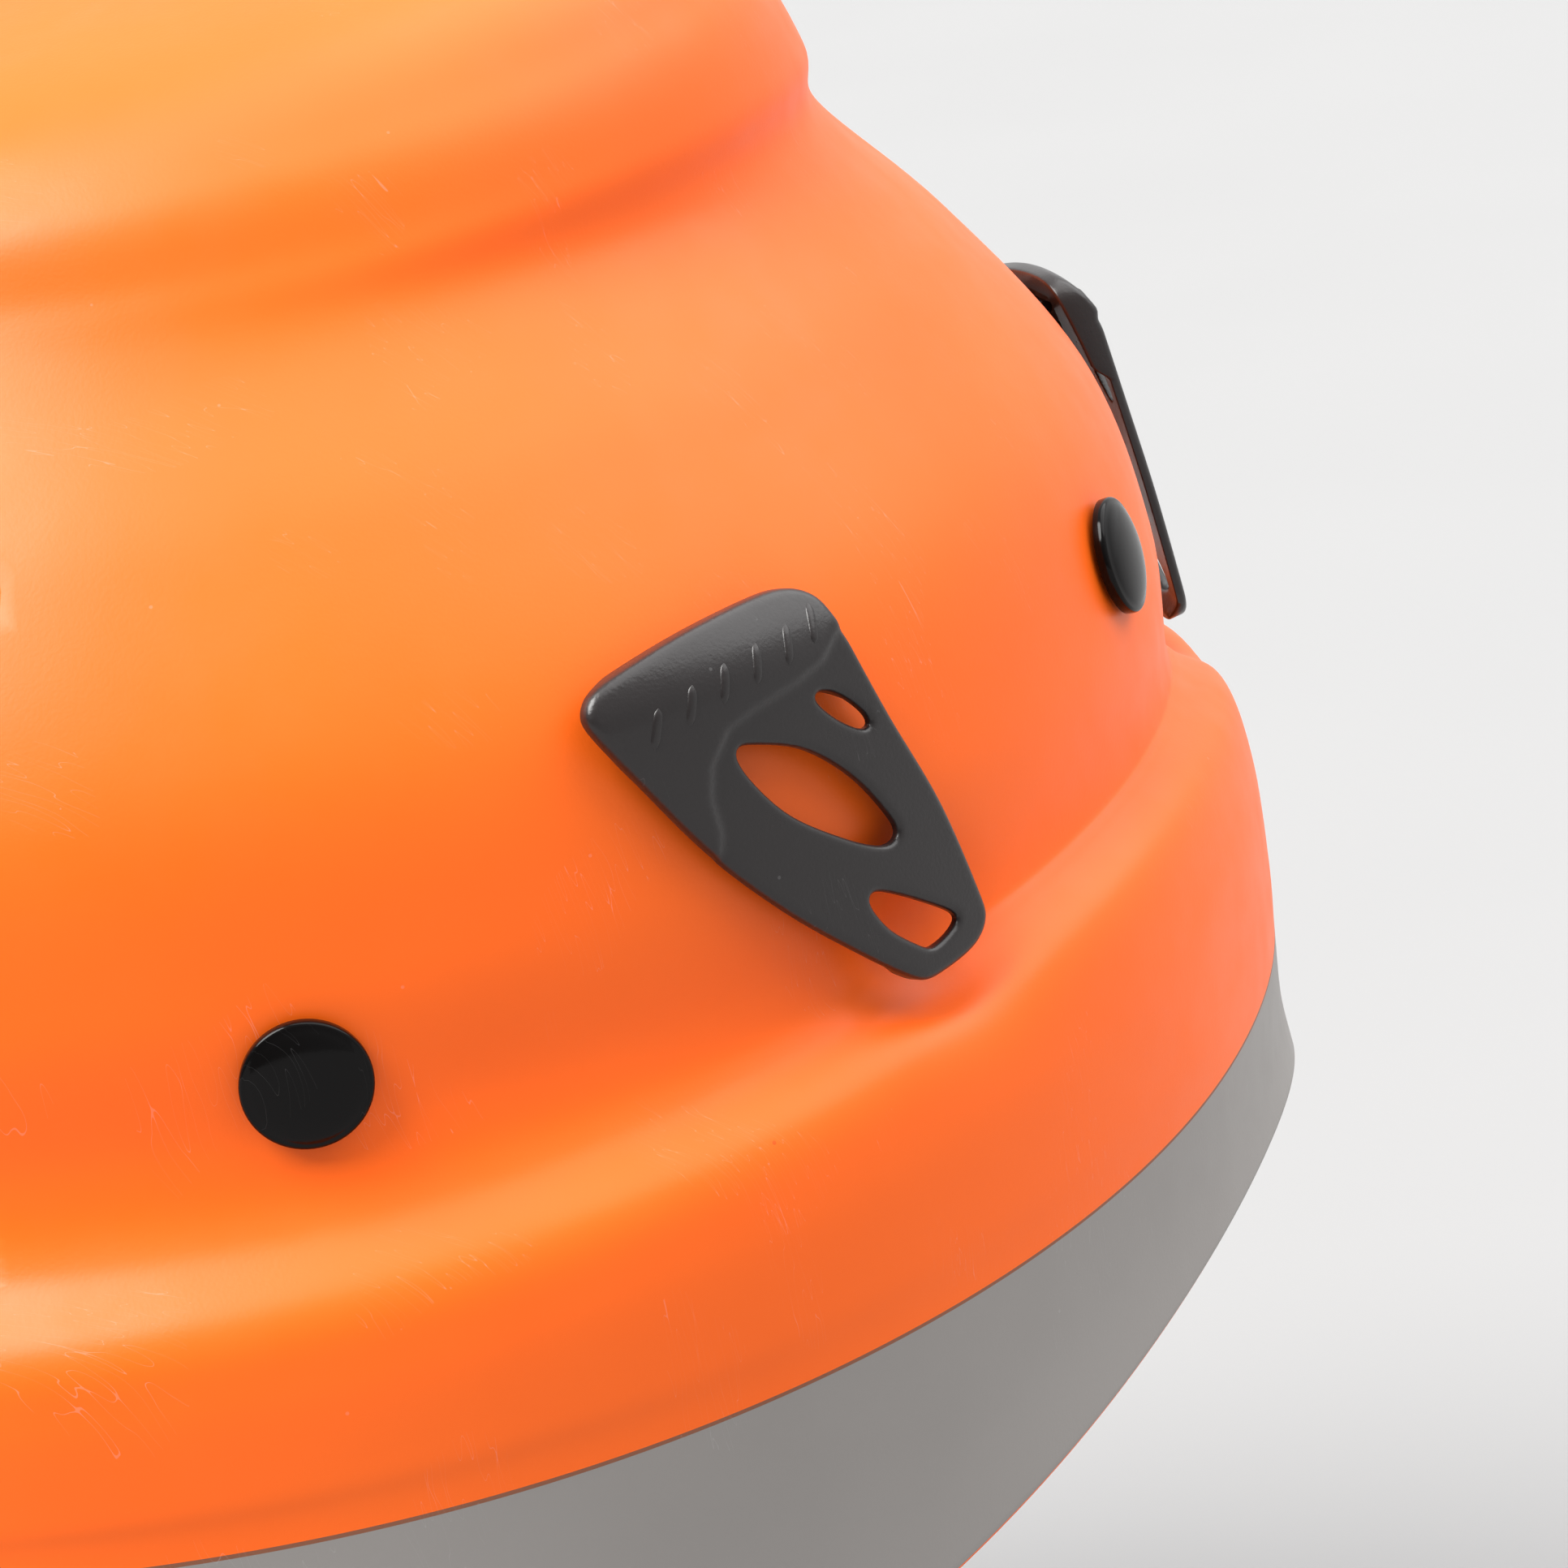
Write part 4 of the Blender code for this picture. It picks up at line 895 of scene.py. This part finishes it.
def cradle_leg(rivet, band_at, along, crown):
    """One end of a cradle strap: from the band up past its rivet and over to the crown."""
    at = shell_frame(*RIVETS[rivet])
    depth = CRADLE_LAYER
    low, high = at.at(0, -9, depth), at.at(0, 9, depth)
    above = band_at + (0, 0, 9)
    points = [band_at, above, (above + low) / 2, low]
    points += [at.at(0, q, depth) for q in (-4.5, 0, 4.5)] + [high]
    rise = crown[2] - high[2]
    for left, risen in CRADLE_ARCH:
        flat = (high[:2] - crown[:2]) * left
        points.append(np.array((crown[0] + flat[0], crown[1] + flat[1], high[2] + rise * risen)))
    along = unit((along[0], along[1], 0))
    along = along if np.dot(along, at.h) > 0 else -along
    widths = [along, along, unit(along + at.h)] + [at.h] * 5
    outward = unit((crown[0] - high[0], crown[1] - high[1], 0))
    level = np.cross((0, 0, 1), outward)
    level = level if np.dot(level, at.h) > 0 else -level
    widths += [unit(at.h * (1 - i / 5) + level * i / 5) for i in range(1, 6)]
    return points, widths


def make_cradle_strap(label, ends, crown_z):
    crown = np.array((0.0, 6.0, crown_z))
    legs = [cradle_leg(rivet, np.asarray(at, float), along, crown) for rivet, (at, along) in ends]
    points = legs[0][0] + [crown] + legs[1][0][::-1]
    last = legs[0][1][-1]
    widths = legs[0][1] + [last] + [-w if np.dot(w, last) < 0 else w for w in legs[1][1][::-1]]
    ribbon = Ribbon(points, widths)
    strap = ribbon.solid(f"cradle_webbing_{label}", 16.0, 0.9, "webbing", end_round=2.5)
    place(strap, "shell", "webbing", f"cradle_strap_{label}")
    make_tacks(f"cradle_tacks_{label}", ribbon, (4.0, ribbon.length - 7.2), 12.0, 0.45, 3, low_side=True)


def simulate_pad(obj, voxel, cap, pressure=4.0):
    """Blows the closed shape up as cloth and keeps the result, with no point moved further than cap."""
    remesh = obj.modifiers.new("remesh", "REMESH")
    remesh.mode = "VOXEL"
    remesh.voxel_size = voxel * MM
    depsgraph = bpy.context.evaluated_depsgraph_get()
    plain = bpy.data.meshes.new_from_object(obj.evaluated_get(depsgraph))
    obj.modifiers.clear()
    obj.data = plain
    rest = np.empty(len(plain.vertices) * 3)
    plain.vertices.foreach_get("co", rest)
    rest = rest.reshape(-1, 3)
    cloth = obj.modifiers.new("cloth", "CLOTH")
    cloth.settings.use_pressure = True
    cloth.settings.uniform_pressure_force = pressure
    cloth.settings.quality = 6
    cloth.settings.tension_stiffness = 12
    cloth.settings.bending_stiffness = 0.4
    cloth.settings.effector_weights.gravity = 0
    cloth.collision_settings.use_collision = False
    for number in range(1, 21):
        bpy.context.scene.frame_set(number)
    blown = obj.evaluated_get(bpy.context.evaluated_depsgraph_get()).to_mesh()
    after = np.empty(len(blown.vertices) * 3)
    blown.vertices.foreach_get("co", after)
    obj.evaluated_get(bpy.context.evaluated_depsgraph_get()).to_mesh_clear()
    obj.modifiers.clear()
    bpy.context.scene.frame_set(1)
    shift = after.reshape(-1, 3) - rest
    size = np.linalg.norm(shift, axis=1)
    shift *= (np.minimum(size, cap * MM) / np.maximum(size, 1e-9))[:, None]
    plain.vertices.foreach_set("co", (rest + shift).ravel())
    plain.update()


def make_pad(name, node, sections, channels):
    """A padded piece lofted through rounded strips, each (middle, across, out, half width, half depth)."""
    verts = []
    ring = 20
    for centre, across, out, half, deep in sections:
        for k in range(ring):
            a = tau * k / ring
            x = abs(cos(a)) ** 0.45 * (1 if cos(a) > 0 else -1)
            y = abs(sin(a)) ** 0.7 * (1 if sin(a) > 0 else -1)
            verts.append(centre + across * half * x + out * deep * y)
    pad = build(name, verts, tube_faces(len(sections), ring), "pad", sharp=180)
    simulate_pad(pad, 1.7, 0.9)
    mesh = pad.data
    co = np.empty(len(mesh.vertices) * 3)
    mesh.vertices.foreach_get("co", co)
    mesh.vertices.foreach_set("co", (channels(co.reshape(-1, 3) / MM) * MM).ravel())
    mesh.shade_smooth()
    mesh.update()
    if not mesh.materials:
        mesh.materials.append(MATERIALS["pad"])
    level = pad.modifiers.new("subdivision", "SUBSURF")
    level.levels = level.render_levels = 1
    place(pad, "shell", "pad", node)


def make_pads(ribbon):
    sign = outward_sign(ribbon)
    middle = ribbon.length / 2
    reach, inner, thick = 87.0, BAND_T / 2 + 0.4, 5.0
    s = np.linspace(middle - reach, middle + reach, 60)
    sections = []
    for i, (c, a, n) in enumerate(zip(*ribbon.read(s))):
        end = min(i, len(s) - 1 - i) / 5
        fade = min(1.0, 0.35 + 0.65 * np.sqrt(min(end, 1.0)))
        half = 11.3 * min(1, 0.6 + 0.4 * fade)
        sections.append((c - sign * n * (inner + thick / 2), a, -sign * n, half, 2.0 * fade))

    def brow_channels(co):
        """Evenly spaced sewn channels, drawn in from both faces towards the pad's middle surface."""
        spacing = 22.0
        where = np.linspace(middle - reach, middle + reach, 700)
        c, _, n = ribbon.read(where)
        c = c - sign * n * (inner + thick / 2)
        flat = ((co[:, None, :2] - c[None, :, :2]) ** 2).sum(-1)
        best = flat.argmin(1)
        run = where[best] - middle
        near = np.abs((run / spacing) - np.round(run / spacing)) * spacing
        pull = 0.55 * np.exp(-(near / 0.9) ** 2)
        way = ((co - c[best]) * n[best]).sum(1)
        return co - (way * pull)[:, None] * n[best]

    make_pad("brow_cushion", "brow_pad", sections, brow_channels)
    y = RACK_Y - 0.8 - 9.3
    up, forward = np.array((0, 0, 1.0)), np.array((0, -1.0, 0))
    sections = []
    for x in np.linspace(-29.4, 29.4, 40):
        beyond = max(0.0, abs(x) - 16.0)
        half = np.sqrt(max(13.4**2 - beyond**2, 4.0))
        fade = min(1.0, 0.45 + (30.0 - abs(x)) / 6)
        sections.append((np.array((x, y, DIAL_Z)), up, forward, half, 2.2 * fade))

    def nape_channels(co):
        """Two upright sewn channels, 9 mm from the middle."""
        near = np.abs(np.abs(co[:, 0]) - 9.0)
        pull = 0.5 * np.exp(-(near / 1.0) ** 2)
        co[:, 1] += (y - co[:, 1]) * pull
        return co

    make_pad("nape_cushion", "nape_pad", sections, nape_channels)


# ---- chin strap --------------------------------------------------------------------------------------
def chin_axes():
    """Across the webbing under the chin, and out of its lower face."""
    up = unit((0, DIVIDER[1] - CHIN[1], DIVIDER[2] - CHIN[2]))
    return np.cross((1, 0, 0), up), -up


def make_upper_strap(name, side, end):
    """From the rivet of the same name down to the divider."""
    at = shell_frame(*RIVETS[name])
    start = [at.at(0, q, CHIN_LAYER) for q in (9, 4.5, 0, -4.5, -9)]
    lean = unit(start[-1] - end)
    low = end + lean * 22
    middle = [start[-1] * (1 - t) + low * t + (side * 2.0 * sin(pi * t), 0, 0) for t in (0.25, 0.5, 0.75)]
    last = unit(np.cross(lean, (side, 0, 0)))
    last = last if np.dot(last, at.h) > 0 else -last
    widths = [at.h] * 5 + [unit(at.h * (1 - t) + last * t) for t in (0.25, 0.5, 0.75)] + [last, last]
    ribbon = Ribbon(start + middle + [low, end], widths)
    strap = ribbon.solid(f"chin_webbing_{name}", STRAP_W - 2, 0.9, "webbing", end_round=2.0)
    place(strap, "shell", "webbing", f"strap_{name}")
    make_tacks(f"chin_tacks_{name}", ribbon, (ribbon.length - 21.0,), 12.0, 0.45, 3)


def make_chin_strap():
    across, out = chin_axes()
    chin = Frame(CHIN, (1, 0, 0), across, out)
    bar = BUCKLE_BAR
    for side, label in ((-1, "right"), (1, "left")):
        top = np.array((side * DIVIDER[0], DIVIDER[1], DIVIDER[2]))
        for name, y in (("temple", -7.0), ("side", 7.0)):
            make_upper_strap(f"{name}_{label}", side, top + (side * 1.9, 0, 0) + (0, y * 1.25, 11))
        loop = [(bar + 30, 3.1), (bar + 20, 2.9), (bar + 6, 2.9)]
        loop += [(bar - 2.9 * sin(radians(a)), 2.9 * cos(radians(a))) for a in range(0, 181, 36)]
        loop += [(bar + 6, -2.9), (bar + 19, -2.9)]
        loop += [(61, -6.5), (73, -18), (81, -36), (85, -55)]
        points = [chin.at(side * x, 0, w) for x, w in loop]
        points.append(np.array((side * (DIVIDER[0] + 1.9), top[1], top[2])) - out * -4.0)
        ribbon = Ribbon(points, [across] * len(points), steps=8)
        name = f"chin_webbing_lower_{label}"
        strap = ribbon.solid(name, STRAP_W, STRAP_T, "webbing", step=0.8, end_round=1.5)
        place(strap, "shell", "webbing", f"strap_lower_{label}")
        make_tacks(f"chin_tacks_lower_{label}", ribbon, (3.0,), 14.0, 0.55, 4)


# ---- CAD pieces kept as they are ---------------------------------------------------------------------
def finish_nodes():
    """The hard CAD pieces keep their shape and get rounded edges (widths in mm) and a worked material."""
    looks = {
        "clip_foot": ("nylon", 0.12), "dial_base": ("nylon", 0.4), "dial_cover": ("nylon", 0.55),
        "dial_rail": ("nylon", 0.2), "dial_wheel": ("nylon", 0.35), "dial_stem": ("nylon", 0.1),
        "dial_pinion": ("nylon", 0.08), "dial_screw": ("steel", 0.15), "rack": ("band", 0.15),
        "strap_divider": ("nylon", 0.6), "buckle_socket_bar": ("nylon", 0.5), "buckle_socket": ("nylon", 0.8),
        "buckle_plug": ("nylon", 0.5), "buckle_latch": ("nylon", 0.4), "strap_keeper": ("nylon", 0.5),
    }
    for name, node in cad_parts.items():
        found = [key for key in looks if name.startswith(key)]
        if not found:
            continue
        key, width = looks[max(found, key=len)]
        node.data.materials.clear()
        node.data.materials.append(MATERIALS[key])
        bevel = node.modifiers.new("soft_edges", "BEVEL")
        bevel.width = width * MM
        bevel.segments = 3
        bevel.limit_method = "ANGLE"
        bevel.angle_limit = radians(38)


# ---- camera, floor and light -------------------------------------------------------------------------
def camera_axes():
    """The photograph's angle: turned from +X, dipped and rolled."""
    turn, dip, roll = radians(19.38), radians(19.05), radians(9.03)
    forward = np.array((cos(turn) * cos(dip), sin(turn) * cos(dip), -sin(dip)))
    level = np.array((sin(turn), -cos(turn), 0.0))
    rise = np.cross(level, forward)
    right = cos(roll) * level - sin(roll) * rise
    up = sin(roll) * level + cos(roll) * rise
    return right, up, forward


def make_camera():
    right, up, forward = camera_axes()
    data = bpy.data.cameras.new("camera")
    data.lens = 108.4
    data.sensor_width = 36.0
    data.clip_start, data.clip_end = 0.01, 50.0
    camera = add_object("camera", data)
    axes = Matrix((right, up, -forward)).transposed().to_4x4()
    camera.matrix_world = Matrix.Translation((-0.4569, -0.2520, 0.1936)) @ axes
    bpy.context.scene.camera = camera


def soft_sun(name, direction, strength, spread, colour):
    """A far, broad softbox: the same light all over the floor."""
    data = bpy.data.lights.new(name, "SUN")
    data.energy = strength
    data.angle = radians(spread)
    data.color = colour
    light = add_object(name, data)
    light.location = Vector(unit(direction))
    light.rotation_mode = "QUATERNION"
    light.rotation_quaternion = light.location.to_track_quat("Z", "Y")


def make_world(right, forward):
    """A white studio, brightest on the far side of the object."""
    world = bpy.data.worlds.new("studio")
    world.use_nodes = True
    tree = world.node_tree
    where = tree.nodes.new("ShaderNodeTexCoord")
    facing = tree.nodes.new("ShaderNodeVectorMath")
    facing.operation = "DOT_PRODUCT"
    facing.inputs[1].default_value = unit((forward[0] + 0.7 * right[0], forward[1] + 0.7 * right[1], 0.3))
    level = tree.nodes.new("ShaderNodeMapRange")
    for key, value in (("From Min", -0.9), ("From Max", 0.7), ("To Min", 0.22), ("To Max", 1.0)):
        level.inputs[key].default_value = value
    background = tree.nodes["Background"]
    background.inputs["Color"].default_value = (1.0, 1.0, 1.0, 1.0)
    tree.links.new(where.outputs["Generated"], facing.inputs[0])
    tree.links.new(facing.outputs["Value"], level.inputs["Value"])
    tree.links.new(level.outputs["Result"], background.inputs["Strength"])
    bpy.context.scene.world = world


def make_stage():
    """A pale paper floor just under the helmet, and two soft suns."""
    shader = Shader("floor_paper")
    shader.set(Roughness=0.9, Specular_IOR_Level=0.1)
    tone = shader.ramp(shader.noise(6.0), (0.3, (0.298, 0.298, 0.300)), (0.7, (0.303, 0.303, 0.305)))
    shader.link(tone, "Base Color")
    low = CAD_BOX[0][2] / MM - 0.5
    far, count = 60000.0, 24
    steps = [-far + 2 * far * i / count for i in range(count + 1)]
    mesh = bpy.data.meshes.new("floor")
    mesh.from_pydata([(x * MM, y * MM, low * MM) for x in steps for y in steps], [],
                     grid_faces(count + 1, count + 1, closed=False))
    mesh.materials.append(shader.material)
    floor = add_object("floor", mesh)
    right, up, forward = camera_axes()
    make_world(right, forward)
    soft_sun("key", -0.80 * right + 0.85 * up - 0.55 * forward, 5.2, 38.0, (1.0, 0.99, 0.97))
    soft_sun("top", 0.35 * right + 1.0 * up - 0.1 * forward, 2.4, 70.0, (1.0, 1.0, 1.0))
    bpy.context.scene.view_settings.view_transform = "Standard"
    bpy.context.scene.view_settings.look = "None"


def main():
    make_camera()
    make_stage()
    make_shell()
    for name, where in RIVETS.items():
        make_rivet(name, *where)
    make_clips()
    ribbon = band_ribbon()
    make_headband(ribbon)
    make_cradle_strap("long", (
        ("front", ((0, -100 - CRADLE_OFF, 4), (1, 0, 0))),
        ("rear", ((0, RACK_Y + 9.4, -8), (1, 0, 0)))), 96.5)
    make_cradle_strap("right", (
        ("temple_right", band_point(ribbon, -1, -48)), ("side_left", band_point(ribbon, 1, 60))), 98.7)
    make_cradle_strap("left", (
        ("temple_left", band_point(ribbon, 1, -48)), ("side_right", band_point(ribbon, -1, 60))), 101.0)
    make_pads(ribbon)
    make_chin_strap()
    finish_nodes()


main()
